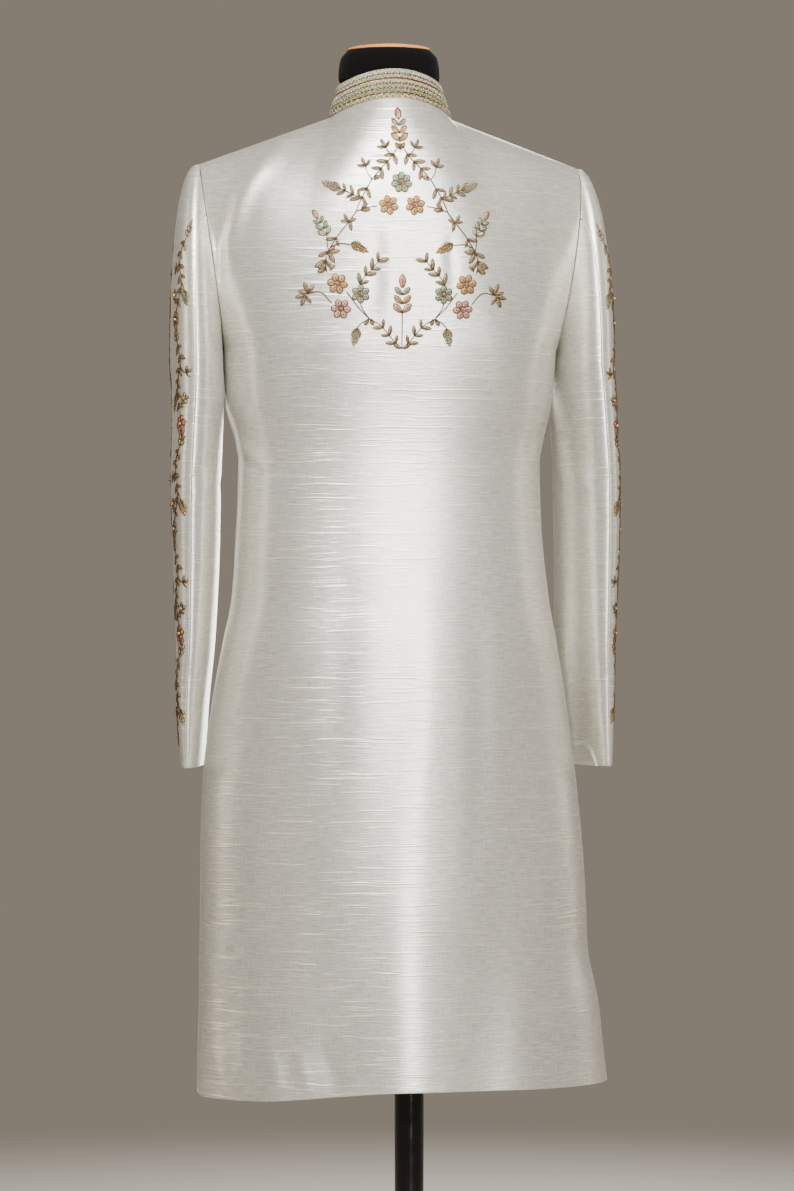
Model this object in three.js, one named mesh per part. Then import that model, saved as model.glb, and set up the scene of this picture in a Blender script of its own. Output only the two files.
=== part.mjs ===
// A knee-length ivory silk sherwani kurta, buttoned on a limbless dress form that stands on a pole.
// Millimetres, +Z up. The garment's front faces -Y, and its wearer's left side is +X.
// The origin is the middle of the stand's underside. The dressed form sits a little off the pole.
//
// Every cloth piece is a thin closed wall: a grid of points on its outer face, and the same grid
// moved inwards by the cloth's thickness. Neighbouring pieces are a seam's gap apart.
import * as THREE from "three";

// ---- Driving sizes ----
const CLOTH = 2.0; // silk, interlining and lining pressed together
const SEAM = 0.3; // gap between two pieces that are sewn to each other
const FORM_OFFSET = { x: 19, y: -25 }; // the dressed form's axis, measured from the pole

const HEM_Z = 400;
const HEM_DROP = 11; // how much lower the left side of the hem hangs
const HEM_DROP_SLOPE = 1.2; // above 1, the hem is fully down before it reaches the side seam
const VENT_TOP_Z = 720; // the side seams are open from here to the hem
const VENT_HALF_GAP = 2.5; // at the hem
const UNDERARM_Z = 1203;

const SHOULDER_TIP = { x: 209, y: 0, z: 1406 };
const NECK_SIDE = { x: 66, y: 8, z: 1458 }; // where a shoulder seam meets the collar
const NAPE = { y: 62, z: 1475 };
const THROAT = { y: -78, z: 1400 };
const SHOULDER_SHARE = 0.3; // part of a panel's width that one shoulder seam takes

const COLLAR_TOP = { x: 55.5, y: 3, backY: 54, backZ: 1507.5, sideZ: 1494, frontY: -72, frontZ: 1438 };
const COLLAR_THICK = 2.2;
const COLLAR_END_GAP = 1.5; // each end stops this far from the centre front
const COLLAR_CORNER = 15; // radius of its front corners
const BRAID_ROWS = 6;
const BRAID_RELIEF = 0.9;

const LAP = 18; // how far each front passes the centre
const LAP_EASE = 26; // width over which the under front sinks below the upper one
const LAP_MARGIN = 8; // the under front is fully sunk this far before the upper one's edge
const LAP_CLEAR = 0.9; // between the two fronts where they overlap
const CUFF_Z = 747;
const BICEPS_Z = 1185;
const SLEEVE_CLOTH = 1.8;

const BUTTON = { count: 7, radius: 8, height: 6, rim: 2.8, shank: 3.2, clear: 0.5, topZ: 1380, bottomZ: 942 };

const POLE = { radius: 16, topZ: 688 };
const BASE = { radius: 175, edge: 7, height: 16, hubRadius: 27, hubHeight: 46 };

// ---- Tables ----
// Level sections of the body: half width, how far its middle lies towards +X, depth behind and in
// front of the axis, and how square the curve is (2 is an ellipse).
const BODY = [
  { z: 389, half: 227.5, shift: -16, back: 127, front: 121, square: 2.1 },
  { z: 434, half: 224.5, shift: -13.5, back: 125, front: 120, square: 2.1 },
  { z: 490, half: 220.5, shift: -11, back: 123, front: 119, square: 2.12 },
  { z: 540, half: 215, shift: -6, back: 121, front: 118, square: 2.14 },
  { z: 600, half: 213, shift: -5, back: 120, front: 117, square: 2.16 },
  { z: 665, half: 210.5, shift: -3, back: 118, front: 117, square: 2.2 },
  { z: 742, half: 205, shift: -0.5, back: 117, front: 117, square: 2.2 },
  { z: 819, half: 195, shift: -0.5, back: 115, front: 116, square: 2.25 },
  { z: 885, half: 183.5, shift: -1, back: 111, front: 114, square: 2.3 },
  { z: 929, half: 175, shift: -1.5, back: 105, front: 112, square: 2.3 },
  { z: 995, half: 169, shift: 0, back: 97, front: 111, square: 2.35 },
  { z: 1045, half: 166.5, shift: 0, back: 93, front: 112, square: 2.4 },
  { z: 1094, half: 167, shift: 0, back: 93, front: 114, square: 2.45 },
  { z: 1140, half: 178.5, shift: 0, back: 98, front: 119, square: 2.55 },
  { z: 1170, half: 181, shift: 0, back: 103, front: 122, square: 2.65 },
  { z: UNDERARM_Z, half: 183, shift: 0, back: 108, front: 125, square: 2.75 },
];

// Above the underarm each column of a panel is a cubic curve from the underarm line to the top edge.
// A row gives its two handles, at a share of the way from the armhole (0) to the middle (0.5).
const YOKE_BACK = [
  { share: 0, lowX: 187, lowY: 72, lowZ: 1222, highX: 214, highY: 62, highZ: 1385 },
  { share: 0.08, lowX: 186, lowY: 66, lowZ: 1236, highX: 188, highY: 86, highZ: 1394 },
  { share: 0.18, lowX: 166, lowY: 81, lowZ: 1265, highX: 140, highY: 112, highZ: 1406 },
  { share: 0.3, lowX: 125, lowY: 101, lowZ: 1280, highX: 84, highY: 120, highZ: 1412 },
  { share: 0.4, lowX: 76, lowY: 111, lowZ: 1285, highX: 50, highY: 126, highZ: 1412 },
  { share: 0.5, lowX: 0, lowY: 116, lowZ: 1287, highX: 0, highY: 124, highZ: 1411 },
];
const YOKE_FRONT = [
  { share: 0, lowX: 179, lowY: -68, lowZ: 1216, highX: 190, highY: -70, highZ: 1378 },
  { share: 0.08, lowX: 176, lowY: -80, lowZ: 1240, highX: 160, highY: -96, highZ: 1388 },
  { share: 0.18, lowX: 161, lowY: -101, lowZ: 1262, highX: 118, highY: -116, highZ: 1392 },
  { share: 0.3, lowX: 124, lowY: -120, lowZ: 1270, highX: 76, highY: -120, highZ: 1390 },
  { share: 0.4, lowX: 78, lowY: -129, lowZ: 1270, highX: 44, highY: -116, highZ: 1370 },
  { share: 0.5, lowX: 0, lowY: -133, lowZ: 1270, highX: 0, highY: -112, highZ: 1345 },
];

// Soft folds of the body: where they lie across (x) and how wide and deep they are, with the height
// at which each is deepest and how far up and down it runs. A positive depth is a ridge.
const FOLDS = [
  { name: "centre ridge", x: -6, width: 46, depth: 3.5, z: 440, reach: 420, face: 1 },
  { name: "left hollow", x: 78, width: 52, depth: -3.5, z: 430, reach: 380, face: 1 },
  { name: "right hollow", x: -88, width: 50, depth: -4, z: 430, reach: 400, face: 1 },
  { name: "left hem ripple", x: 142, width: 18, depth: 3, z: 390, reach: 120, face: 1 },
  { name: "left hip ridge", x: 118, width: 30, depth: 3, z: 600, reach: 260, face: 1 },
  { name: "right hip ridge", x: -136, width: 34, depth: 3, z: 560, reach: 280, face: 1 },
  { name: "front left fold", x: 96, width: 40, depth: 3.5, z: 430, reach: 340, face: -1 },
  { name: "front right fold", x: -104, width: 44, depth: 3.5, z: 450, reach: 360, face: -1 },
];

// Level sections of a sleeve, flat from side to side: its middle, half width, half depth, how far
// its hind edge is turned outwards, and how square its ends are. Lean moves the left sleeve in and
// the right one out.
const SLEEVE = [
  { z: CUFF_Z, x: 219.5, lean: 4.5, y: -12, half: 8.5, deep: 66, turn: 11, square: 6 },
  { z: 819, x: 218.5, lean: 3, y: -8, half: 15, deep: 70, turn: 10.5, square: 4 },
  { z: 885, x: 216, lean: 3, y: -3, half: 19.5, deep: 75, turn: 10, square: 3 },
  { z: 973, x: 216, lean: 3.5, y: 0, half: 24, deep: 78, turn: 9.5, square: 2.6 },
  { z: 1061, x: 216, lean: 3, y: 4, half: 26.5, deep: 82, turn: 8.5, square: 2.4 },
  { z: 1148, x: 213, lean: 2, y: 5, half: 28, deep: 84, turn: 7, square: 2.2 },
  { z: BICEPS_Z, x: 213, lean: 0.5, y: 5, half: 29, deep: 85, turn: 5.5, square: 2.2 },
];

// The dress form, as level sections like the body's.
const FORM = [
  { z: 690, half: 146, shift: 0, back: 90, front: 92, square: 2.1 },
  { z: 742, half: 158, shift: 0, back: 96, front: 98, square: 2.15 },
  { z: 819, half: 170, shift: 0, back: 101, front: 103, square: 2.2 },
  { z: 885, half: 166, shift: 0, back: 98, front: 102, square: 2.25 },
  { z: 940, half: 159, shift: 0, back: 91, front: 100, square: 2.25 },
  { z: 995, half: 153, shift: 0, back: 84, front: 98, square: 2.3 },
  { z: 1060, half: 151, shift: 0, back: 80, front: 99, square: 2.3 },
  { z: 1140, half: 161, shift: 0, back: 87, front: 106, square: 2.35 },
  { z: UNDERARM_Z, half: 169, shift: 0, back: 95, front: 112, square: 2.4 },
  { z: 1270, half: 177, shift: 0, back: 95, front: 108, square: 2.3 },
  { z: 1330, half: 181, shift: 0, back: 88, front: 92, square: 2.2 },
  { z: 1370, half: 180, shift: 0, back: 72, front: 72, square: 2.1 },
  { z: 1388, half: 174, shift: 0, back: 58, front: 54, square: 2 },
  { z: 1405, half: 150, shift: 0, back: 48, front: 40, square: 2 },
  { z: 1418, half: 115, shift: 0, back: 44, front: 36, square: 2 },
  { z: 1431, half: 84, shift: 0, back: 44, front: 40, square: 2 },
  { z: 1444, half: 60, shift: 0, back: 46, front: 46, square: 2 },
  { z: 1460, half: 52, shift: 0, back: 47, front: 49, square: 2 },
  { z: 1494, half: 52.4, shift: 0, back: 47, front: 49.5, square: 2.1 },
  { z: 1500, half: 55.2, shift: 0, back: 47.3, front: 50.5, square: 2.1 },
  { z: 1508, half: 55.5, shift: 0, back: 48.2, front: 51.5, square: 2.1 },
  { z: 1517, half: 54.6, shift: 0, back: 49, front: 52, square: 2.1 },
  { z: 1525, half: 52.4, shift: 0, back: 48.5, front: 50.5, square: 2.1 },
  { z: 1532, half: 46, shift: 0, back: 43.5, front: 44.5, square: 2.1 },
];
const WOOD_CAP = { half: 46.5, deep: 44, bottomZ: 1532.3, edge: 1.6, rise: 4.8 };

// ---- Finishes ----
const finish = {
  silk: new THREE.MeshStandardMaterial({ color: 0xe3e0d6, roughness: 0.5, side: THREE.DoubleSide }),
  braid: new THREE.MeshStandardMaterial({ color: 0xb9a06a, roughness: 0.35, metalness: 0.6 }),
  jersey: new THREE.MeshStandardMaterial({ color: 0x141416, roughness: 0.9 }),
  wood: new THREE.MeshStandardMaterial({ color: 0x9a5a30, roughness: 0.45 }),
  enamel: new THREE.MeshStandardMaterial({ color: 0x1b1213, roughness: 0.25 }),
};

// ---- Small helpers ----
const mix = (a, b, t) => a + (b - a) * t;
const clamp01 = (t) => Math.min(Math.max(t, 0), 1);
const ease = (t) => clamp01(t) ** 2 * (3 - 2 * clamp01(t));
const signedPower = (a, power) => Math.sign(a) * Math.abs(a) ** power;

/** Reads a column of a table at `at`: a smooth curve through the rows, level past its ends. */
function read(rows, key, column, at) {
  const last = rows.length - 1;
  if (at <= rows[0][key]) return rows[0][column];
  if (at >= rows[last][key]) return rows[last][column];
  const i = rows.findIndex((row) => row[key] > at) - 1;
  const slope = (j) => {
    const a = rows[Math.max(j - 1, 0)];
    const b = rows[Math.min(j + 1, last)];
    return (b[column] - a[column]) / (b[key] - a[key]);
  };
  const span = rows[i + 1][key] - rows[i][key];
  const t = (at - rows[i][key]) / span;
  const bend = t * t * (3 - 2 * t);
  return (
    mix(rows[i][column], rows[i + 1][column], bend) +
    span * t * (1 - t) * ((1 - t) * slope(i) - t * slope(i + 1))
  );
}

/** A cubic Bezier through four [x, y, z] points. */
function bezier(a, b, c, d, t) {
  const s = 1 - t;
  return a.map((_, i) => s ** 3 * a[i] + 3 * s * s * t * b[i] + 3 * s * t * t * c[i] + t ** 3 * d[i]);
}

/** A point of a level section: angle 0 is at +X, a quarter turn is at the back. */
function sectionPoint(rows, z, angle) {
  const power = 2 / read(rows, "z", "square", z);
  const depth = read(rows, "z", Math.sin(angle) >= 0 ? "back" : "front", z);
  const x = read(rows, "z", "shift", z) + read(rows, "z", "half", z) * signedPower(Math.cos(angle), power);
  return [x, depth * signedPower(Math.sin(angle), power), z];
}

/** Wraps triangles in a mesh with its faces turned outwards. */
function solid(name, points, triangles, material) {
  let volume = 0;
  const [a, b, c] = [new THREE.Vector3(), new THREE.Vector3(), new THREE.Vector3()];
  triangles.forEach(([i, j, k]) => {
    volume += a.fromArray(points[i]).dot(b.fromArray(points[j]).cross(c.fromArray(points[k])));
  });
  const index = volume < 0 ? triangles.map(([i, j, k]) => [i, k, j]) : triangles;
  const geometry = new THREE.BufferGeometry();
  geometry.setAttribute("position", new THREE.Float32BufferAttribute(points.flat(), 3));
  geometry.setIndex(index.flat());
  geometry.computeVertexNormals();
  const mesh = new THREE.Mesh(geometry, material);
  mesh.name = name;
  return mesh;
}

/** The outward unit normal of a surface (u, v), with `middle` a point on its hollow side. */
function surfaceNormal(point, u, v, middle) {
  const step = 1e-3;
  const along = (du, dv) => {
    const a = point(clamp01(u - du), clamp01(v - dv));
    const b = point(clamp01(u + du), clamp01(v + dv));
    return new THREE.Vector3(b[0] - a[0], b[1] - a[1], b[2] - a[2]);
  };
  const normal = along(step, 0).cross(along(0, step)).normalize();
  const p = point(u, v);
  const outward = new THREE.Vector3(p[0] - middle[0], p[1] - middle[1], p[2] - middle[2]);
  return normal.dot(outward) < 0 ? normal.negate() : normal;
}

/**
 * A closed wall of cloth. point(u, v) is its outer face, middle(u, v) a point on its hollow side,
 * and seamNormal(u, v), where it gives one, is the direction that a shared edge is cut along.
 */
function wall(name, columns, rows, shape, thickness, material) {
  const outer = [];
  const inner = [];
  for (let j = 0; j <= rows; j++) {
    for (let i = 0; i <= columns; i++) {
      const [u, v] = [i / columns, j / rows];
      const p = shape.point(u, v);
      const own = surfaceNormal(shape.point, u, v, shape.middle(u, v));
      const n = shape.seamNormal?.(u, v) ?? own;
      outer.push(p);
      inner.push([p[0] - thickness * n.x, p[1] - thickness * n.y, p[2] - thickness * n.z]);
    }
  }
  const count = outer.length;
  const at = (i, j) => j * (columns + 1) + i;
  const triangles = [];
  const quad = (a, b, c, d) => triangles.push([a, b, c], [a, c, d]);
  for (let j = 0; j < rows; j++) {
    for (let i = 0; i < columns; i++) {
      const [a, b, c, d] = [at(i, j), at(i + 1, j), at(i + 1, j + 1), at(i, j + 1)];
      quad(a, b, c, d);
      quad(count + d, count + c, count + b, count + a);
    }
  }
  for (let i = 0; i < columns; i++) {
    quad(at(i + 1, 0), at(i, 0), count + at(i, 0), count + at(i + 1, 0));
    quad(at(i, rows), at(i + 1, rows), count + at(i + 1, rows), count + at(i, rows));
  }
  for (let j = 0; j < rows; j++) {
    quad(at(0, j), at(0, j + 1), count + at(0, j + 1), count + at(0, j));
    quad(at(columns, j + 1), at(columns, j), count + at(columns, j), count + at(columns, j + 1));
  }
  return solid(name, [...outer, ...inner], triangles, material);
}

// ---- Body ----
const YOKE_SHARE = 0.3; // part of a panel's rows that lies above the underarm

/** The neckline, by angle: 0 is the wearer's left, face 1 runs round the nape and -1 the throat. */
function neckline(angle, face) {
  const [c, s] = [Math.cos(angle), Math.sin(angle)];
  const end = face > 0 ? NAPE : THROAT;
  return [NECK_SIDE.x * c, mix(NECK_SIDE.y, end.y, s), mix(NECK_SIDE.z, end.z, s * s)];
}

/** The top edge of a panel, from the left shoulder tip to the right one. */
function topEdge(u, face) {
  const near = Math.min(u, 1 - u);
  const side = u <= 0.5 ? 1 : -1;
  if (near < SHOULDER_SHARE) {
    const t = near / SHOULDER_SHARE;
    return [
      side * mix(SHOULDER_TIP.x, NECK_SIDE.x, t),
      mix(SHOULDER_TIP.y, NECK_SIDE.y, t) + (face * SEAM) / 2,
      mix(SHOULDER_TIP.z, NECK_SIDE.z, t),
    ];
  }
  const [x, y, z] = neckline(((u - SHOULDER_SHARE) / (1 - 2 * SHOULDER_SHARE)) * Math.PI, face);
  const nearest = NECK_SIDE.y + (face * SEAM) / 2;
  return [x, face > 0 ? Math.max(y, nearest) : Math.min(y, nearest), z];
}

/** How far the folds lift a point of the body off its plain form. */
function foldLift(x, z, face) {
  return FOLDS.filter((fold) => fold.face === face).reduce((sum, fold) => {
    const across = (x - fold.x) / fold.width;
    const along = (z - fold.z) / fold.reach;
    return sum + fold.depth * Math.exp(-2 * across * across) * (1 - ease(Math.abs(along)));
  }, 0);
}

/**
 * The outer face of a body panel, u from the left side seam to the right one and v from the hem to
 * the top edge. face is 1 for the back and -1 for the front.
 */
function bodyPoint(u, v, face) {
  const yokeFrom = 1 - YOKE_SHARE;
  if (v <= yokeFrom) {
    const toLeft = Math.max(Math.cos(Math.PI * u), 0);
    const z = mix(HEM_Z - HEM_DROP * ease(HEM_DROP_SLOPE * toLeft), UNDERARM_Z, v / yokeFrom);
    const halfGap = SEAM / 2 + VENT_HALF_GAP * clamp01((VENT_TOP_Z - z) / (VENT_TOP_Z - HEM_Z));
    const depth = read(BODY, "z", face > 0 ? "back" : "front", z);
    const edge = Math.asin((halfGap / depth) ** (read(BODY, "z", "square", z) / 2));
    const p = sectionPoint(BODY, z, face * mix(edge, Math.PI - edge, u));
    return [p[0], p[1] + face * foldLift(p[0], z, face) * Math.sin(Math.PI * u), p[2]];
  }
  const t = (v - yokeFrom) / YOKE_SHARE;
  const rows = face > 0 ? YOKE_BACK : YOKE_FRONT;
  const near = Math.min(u, 1 - u);
  const side = u <= 0.5 ? 1 : -1;
  const handle = (end) => [
    side * read(rows, "share", end + "X", near),
    read(rows, "share", end + "Y", near),
    read(rows, "share", end + "Z", near),
  ];
  return bezier(bodyPoint(u, yokeFrom, face), handle("low"), handle("high"), topEdge(u, face), t);
}

const CHEST_Z = 1330;

/** A point well inside the body, level with p or at the chest: only the side that it lies on matters. */
const bodyMiddle = (p) => [p[0] * 0.55, p[1] * 0.1, Math.min(p[2], CHEST_Z)];

/** Side seams are cut straight in, and shoulder seams straight down, square to their slope. */
function bodySeamNormal(u, v) {
  const near = Math.min(u, 1 - u);
  const side = u <= 0.5 ? 1 : -1;
  if (near === 0 && v <= 1 - YOKE_SHARE) return new THREE.Vector3(side, 0, 0);
  if (v < 1 || near > SHOULDER_SHARE + 1e-6) return null;
  const run = SHOULDER_TIP.x - NECK_SIDE.x;
  const fall = NECK_SIDE.z - SHOULDER_TIP.z;
  return new THREE.Vector3(side * fall, 0, run).normalize();
}

const BODY_ROWS = 20;
const BACK_COLUMNS = 30;
const FRONT_COLUMNS = BACK_COLUMNS / 2 + 1; // one more, for the lap

function makeBack() {
  const point = (u, v) => bodyPoint(u, v, 1);
  const shape = { point, middle: (u, v) => bodyMiddle(point(u, v)), seamNormal: bodySeamNormal };
  return wall("back", BACK_COLUMNS, BODY_ROWS, shape, CLOTH, finish.silk);
}

/** One front, from its side seam to its edge past the centre. The right one lies under the left. */
function makeFront(name, side) {
  const spread = (u, v) => {
    const column = u * FRONT_COLUMNS;
    const lap = Math.max(column - BACK_COLUMNS / 2, 0);
    const across = bodyPoint(0.5, v, -1)[0] - bodyPoint(0.52, v, -1)[0];
    const share = Math.min(column / BACK_COLUMNS, 0.5) + (lap * 0.02 * LAP) / across;
    return side > 0 ? share : 1 - share;
  };
  const point = (u, v) => {
    const p = bodyPoint(spread(u, v), v, -1);
    if (side > 0) return p;
    const fromMiddle = p[0] - bodyPoint(0.5, v, -1)[0];
    const sink = (CLOTH + LAP_CLEAR) * ease((fromMiddle + LAP + LAP_MARGIN + LAP_EASE) / LAP_EASE);
    return [p[0], p[1] + sink, p[2]];
  };
  const shape = {
    point,
    middle: (u, v) => bodyMiddle(point(u, v)),
    seamNormal: (u, v) => bodySeamNormal(spread(u, v), v),
  };
  return wall(name, FRONT_COLUMNS, BODY_ROWS, shape, CLOTH, finish.silk);
}

// ---- Sleeves ----
const CAP_SHARE = 0.375; // part of a sleeve's rows that lies in its cap, above the biceps
const HIND_SEAM = 0;
const FRONT_SEAM = 205; // degrees round from the hind seam, over the outside
const SLEEVE_COLUMNS = 9; // of each of its two pieces
const SLEEVE_ROWS = 16;
// how the cap leaves the armhole below the arm and above it, and how long it stays full
const CAP = { outBelow: 2, outAbove: 29, spread: 14, fallBelow: -5, riseAbove: 4, fullness: 0.4 };

/** The armhole by the sleeve's angle in degrees: 0 is behind, 90 outside and -90 below the arm. */
function armhole(degrees) {
  const behind = degrees <= 90;
  const share = behind ? ((degrees + 90) / 180) ** 0.6 : 1 - (degrees - 90) / 180;
  return bodyPoint(0, mix(1 - YOKE_SHARE, 1, share), behind ? 1 : -1);
}

/** The outer face of a sleeve. t runs from the armhole (0) to the cuff (1). */
function sleevePoint(side, degrees, t) {
  const angle = THREE.MathUtils.degToRad(degrees);
  const [s, c] = [Math.sin(angle), Math.cos(angle)];
  const ring = (z) => {
    const get = (column) => read(SLEEVE, "z", column, z);
    const turn = THREE.MathUtils.degToRad(get("turn"));
    const [across, back] = [get("half") * s, get("deep") * signedPower(c, 2 / get("square"))];
    const x = get("x") - side * get("lean") + across * Math.cos(turn) + back * Math.sin(turn);
    return [side * x, get("y") + back * Math.cos(turn) - across * Math.sin(turn), z];
  };
  if (t > CAP_SHARE) return ring(mix(BICEPS_Z, CUFF_Z, (t - CAP_SHARE) / (1 - CAP_SHARE)));
  const seam = armhole(degrees);
  const biceps = ring(BICEPS_Z);
  const lift = (s + 1) / 2;
  const start = [side * (seam[0] + SEAM), seam[1], seam[2]];
  const out = [
    start[0] + side * mix(CAP.outBelow, CAP.outAbove, lift),
    start[1] + CAP.spread * c,
    start[2] + mix(CAP.fallBelow, CAP.riseAbove, lift),
  ];
  const up = [biceps[0], biceps[1], biceps[2] + CAP.fullness * Math.max(seam[2] - BICEPS_Z, 0)];
  return bezier(start, out, up, biceps, t / CAP_SHARE);
}

function makeSleevePiece(name, side, from, to) {
  const degrees = (u, v) => {
    const z = mix(BICEPS_Z, CUFF_Z, (1 - v - CAP_SHARE) / (1 - CAP_SHARE));
    const gap = THREE.MathUtils.radToDeg(SEAM / 2 / read(SLEEVE, "z", "half", z));
    const round = mix(from + gap, to - gap, u);
    return round > 270 ? round - 360 : round;
  };
  const point = (u, v) => sleevePoint(side, degrees(u, v), 1 - v);
  const middle = (u, v) => {
    const z = point(u, v)[2];
    return [side * Math.min(214, 160 + SHOULDER_TIP.z - Math.min(z, SHOULDER_TIP.z)), 0, Math.min(z, 1340)];
  };
  return wall(name, SLEEVE_COLUMNS, SLEEVE_ROWS, { point, middle }, SLEEVE_CLOTH, finish.silk);
}

// ---- Collar ----
const COLLAR_STEP = 15; // degrees between its columns, which meet the panels' own columns

/** The foot and the top of the stand collar: turn 0 is the throat, 90 the left side, 180 the nape. */
function collarEdges(turn) {
  const s = Math.sin(THREE.MathUtils.degToRad(turn));
  const c = -Math.cos(THREE.MathUtils.degToRad(turn));
  const face = c >= 0 ? 1 : -1;
  const foot = neckline(Math.atan2(Math.abs(c), s), face);
  const end = face > 0 ? [COLLAR_TOP.backY, COLLAR_TOP.backZ] : [COLLAR_TOP.frontY, COLLAR_TOP.frontZ];
  const top = [COLLAR_TOP.x * s, mix(COLLAR_TOP.y, end[0], c * face), mix(COLLAR_TOP.sideZ, end[1], c * c)];
  return [foot, top];
}

/** The stand collar's outer face. It is straight between its steps, as the panels' necklines are. */
function collarPoint(turn, v) {
  const step = Math.min(Math.floor(turn / COLLAR_STEP), 360 / COLLAR_STEP - 1) * COLLAR_STEP;
  const [before, after] = [collarEdges(step), collarEdges(step + COLLAR_STEP)];
  const share = (turn - step) / COLLAR_STEP;
  const [foot, top] = before.map((edge, k) => edge.map((value, i) => mix(value, after[k][i], share)));
  const face = Math.abs(turn - 180) < 90 ? 1 : -1;
  const height = Math.hypot(top[0] - foot[0], top[1] - foot[1], top[2] - foot[2]);
  const toEnd = Math.max(Math.abs(foot[0]) - COLLAR_END_GAP, 0);
  const inCorner = face < 0 ? clamp01(1 - toEnd / COLLAR_CORNER) : 0;
  const cut = (COLLAR_CORNER * (1 - Math.sqrt(1 - inCorner ** 2))) / height;
  const t = mix(SEAM / height, 1 - cut, v);
  return foot.map((value, i) => mix(value, top[i], t));
}

function makeCollar() {
  // the columns' turns: a few close ones round each front corner, and even steps between them
  const fromEnd = [COLLAR_END_GAP, 4, 10].map((x) => THREE.MathUtils.radToDeg(Math.asin(x / NECK_SIDE.x)));
  const even = Array.from({ length: 360 / COLLAR_STEP - 1 }, (_, i) => (i + 1) * COLLAR_STEP);
  const turns = [...fromEnd, ...even, ...fromEnd.map((turn) => 360 - turn).reverse()];
  const columns = turns.length - 1;
  const rows = 2 * BRAID_ROWS;
  const turnAt = (u) => {
    const i = Math.min(Math.floor(u * columns + 1e-6), columns - 1);
    return mix(turns[i], turns[i + 1], u * columns - i);
  };
  const plain = (u, v) => collarPoint(turnAt(u), v);
  const middle = (u, v) => [0, -5, plain(u, v)[2]];
  // every second line of points is a braid's crest
  const crest = (v) => (Math.round(v * rows) % 2 === 1 ? BRAID_RELIEF : 0);
  const point = (u, v) => {
    const p = plain(u, v);
    const n = surfaceNormal(plain, u, v, middle(u, v));
    return [p[0] + crest(v) * n.x, p[1] + crest(v) * n.y, p[2] + crest(v) * n.z];
  };
  // the inside stays plain: under a crest the wall is thicker by the crest's height
  const seamNormal = (u, v) =>
    surfaceNormal(plain, u, v, middle(u, v)).multiplyScalar(1 + crest(v) / COLLAR_THICK);
  return wall("collar", columns, rows, { point, middle, seamNormal }, COLLAR_THICK, finish.braid);
}

// ---- Buttons ----
/** A covered button: a low dome on a short shank, standing off the left front along its normal. */
function makeButton(i) {
  const z = mix(BUTTON.topZ, BUTTON.bottomZ, i / (BUTTON.count - 1));
  let [low, high] = [0, 1];
  for (let step = 0; step < 40; step++) {
    const v = (low + high) / 2;
    if (bodyPoint(0.5, v, -1)[2] < z) low = v;
    else high = v;
  }
  const point = (u, v) => bodyPoint(u, v, -1);
  const p = point(0.5, low);
  const n = surfaceNormal(point, 0.5, low, bodyMiddle(p));
  const { radius, height, rim, shank } = BUTTON;
  const profile = [[0, 0], [shank, 0], [radius * 0.9, rim / 2], [radius, rim]];
  const dome = [40, 90].map((degrees) => {
    const angle = THREE.MathUtils.degToRad(degrees);
    return [degrees === 90 ? 0 : radius * Math.cos(angle), rim + (height - rim) * Math.sin(angle)];
  });
  const geometry = new THREE.LatheGeometry([...profile, ...dome].map((q) => new THREE.Vector2(...q)), 12);
  const mesh = new THREE.Mesh(geometry, finish.silk);
  mesh.quaternion.setFromUnitVectors(new THREE.Vector3(0, 1, 0), n);
  mesh.position.set(...p).addScaledVector(n, BUTTON.clear);
  mesh.name = `button_${i + 1}`;
  return mesh;
}

// ---- Form and stand ----
/** A loft of level sections, closed by a flat face below and above. */
function loft(name, rows, levels, around, material) {
  const points = [];
  const triangles = [];
  levels.forEach((z) => {
    for (let i = 0; i < around; i++) points.push(sectionPoint(rows, z, (2 * Math.PI * i) / around));
  });
  for (let j = 0; j < levels.length - 1; j++) {
    for (let i = 0; i < around; i++) {
      const [a, b] = [j * around + i, j * around + ((i + 1) % around)];
      triangles.push([a, b, b + around], [a, b + around, a + around]);
    }
  }
  const top = (levels.length - 1) * around;
  points.push([0, 0, levels[0]], [0, 0, levels[levels.length - 1]]);
  for (let i = 0; i < around; i++) {
    const next = (i + 1) % around;
    triangles.push([points.length - 2, next, i], [points.length - 1, top + i, top + next]);
  }
  return solid(name, points, triangles, material);
}

function makeForm() {
  return loft("form_torso", FORM, FORM.map((row) => row.z), 28, finish.jersey);
}

/** The turned wooden cap: a low dome with a small square edge. */
function makeCap() {
  const profile = [[0, 0], [1, 0], [1, WOOD_CAP.edge]];
  for (const degrees of [30, 60, 90]) {
    const angle = THREE.MathUtils.degToRad(degrees);
    profile.push([degrees === 90 ? 0 : Math.cos(angle), WOOD_CAP.edge + WOOD_CAP.rise * Math.sin(angle)]);
  }
  const geometry = new THREE.LatheGeometry(profile.map((q) => new THREE.Vector2(...q)), 28);
  geometry.rotateX(Math.PI / 2);
  geometry.scale(WOOD_CAP.half, WOOD_CAP.deep, 1);
  const mesh = new THREE.Mesh(geometry, finish.wood);
  mesh.position.set(0, 0, WOOD_CAP.bottomZ);
  mesh.name = "form_cap";
  return mesh;
}

function lathe(name, profile, segments, material) {
  const geometry = new THREE.LatheGeometry(profile.map((q) => new THREE.Vector2(...q)), segments);
  geometry.rotateX(Math.PI / 2);
  const mesh = new THREE.Mesh(geometry, material);
  mesh.name = name;
  return mesh;
}

function makeBase() {
  const { radius, edge, height, hubRadius, hubHeight } = BASE;
  const profile = [
    [0, 0],
    [radius, 0],
    [radius, edge],
    [radius - 4, edge + 2],
    [hubRadius + 8, height],
    [hubRadius, height + 8],
    [hubRadius, hubHeight - 3],
    [hubRadius - 3, hubHeight],
    [0, hubHeight],
  ];
  return lathe("stand_base", profile, 40, finish.enamel);
}

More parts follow.
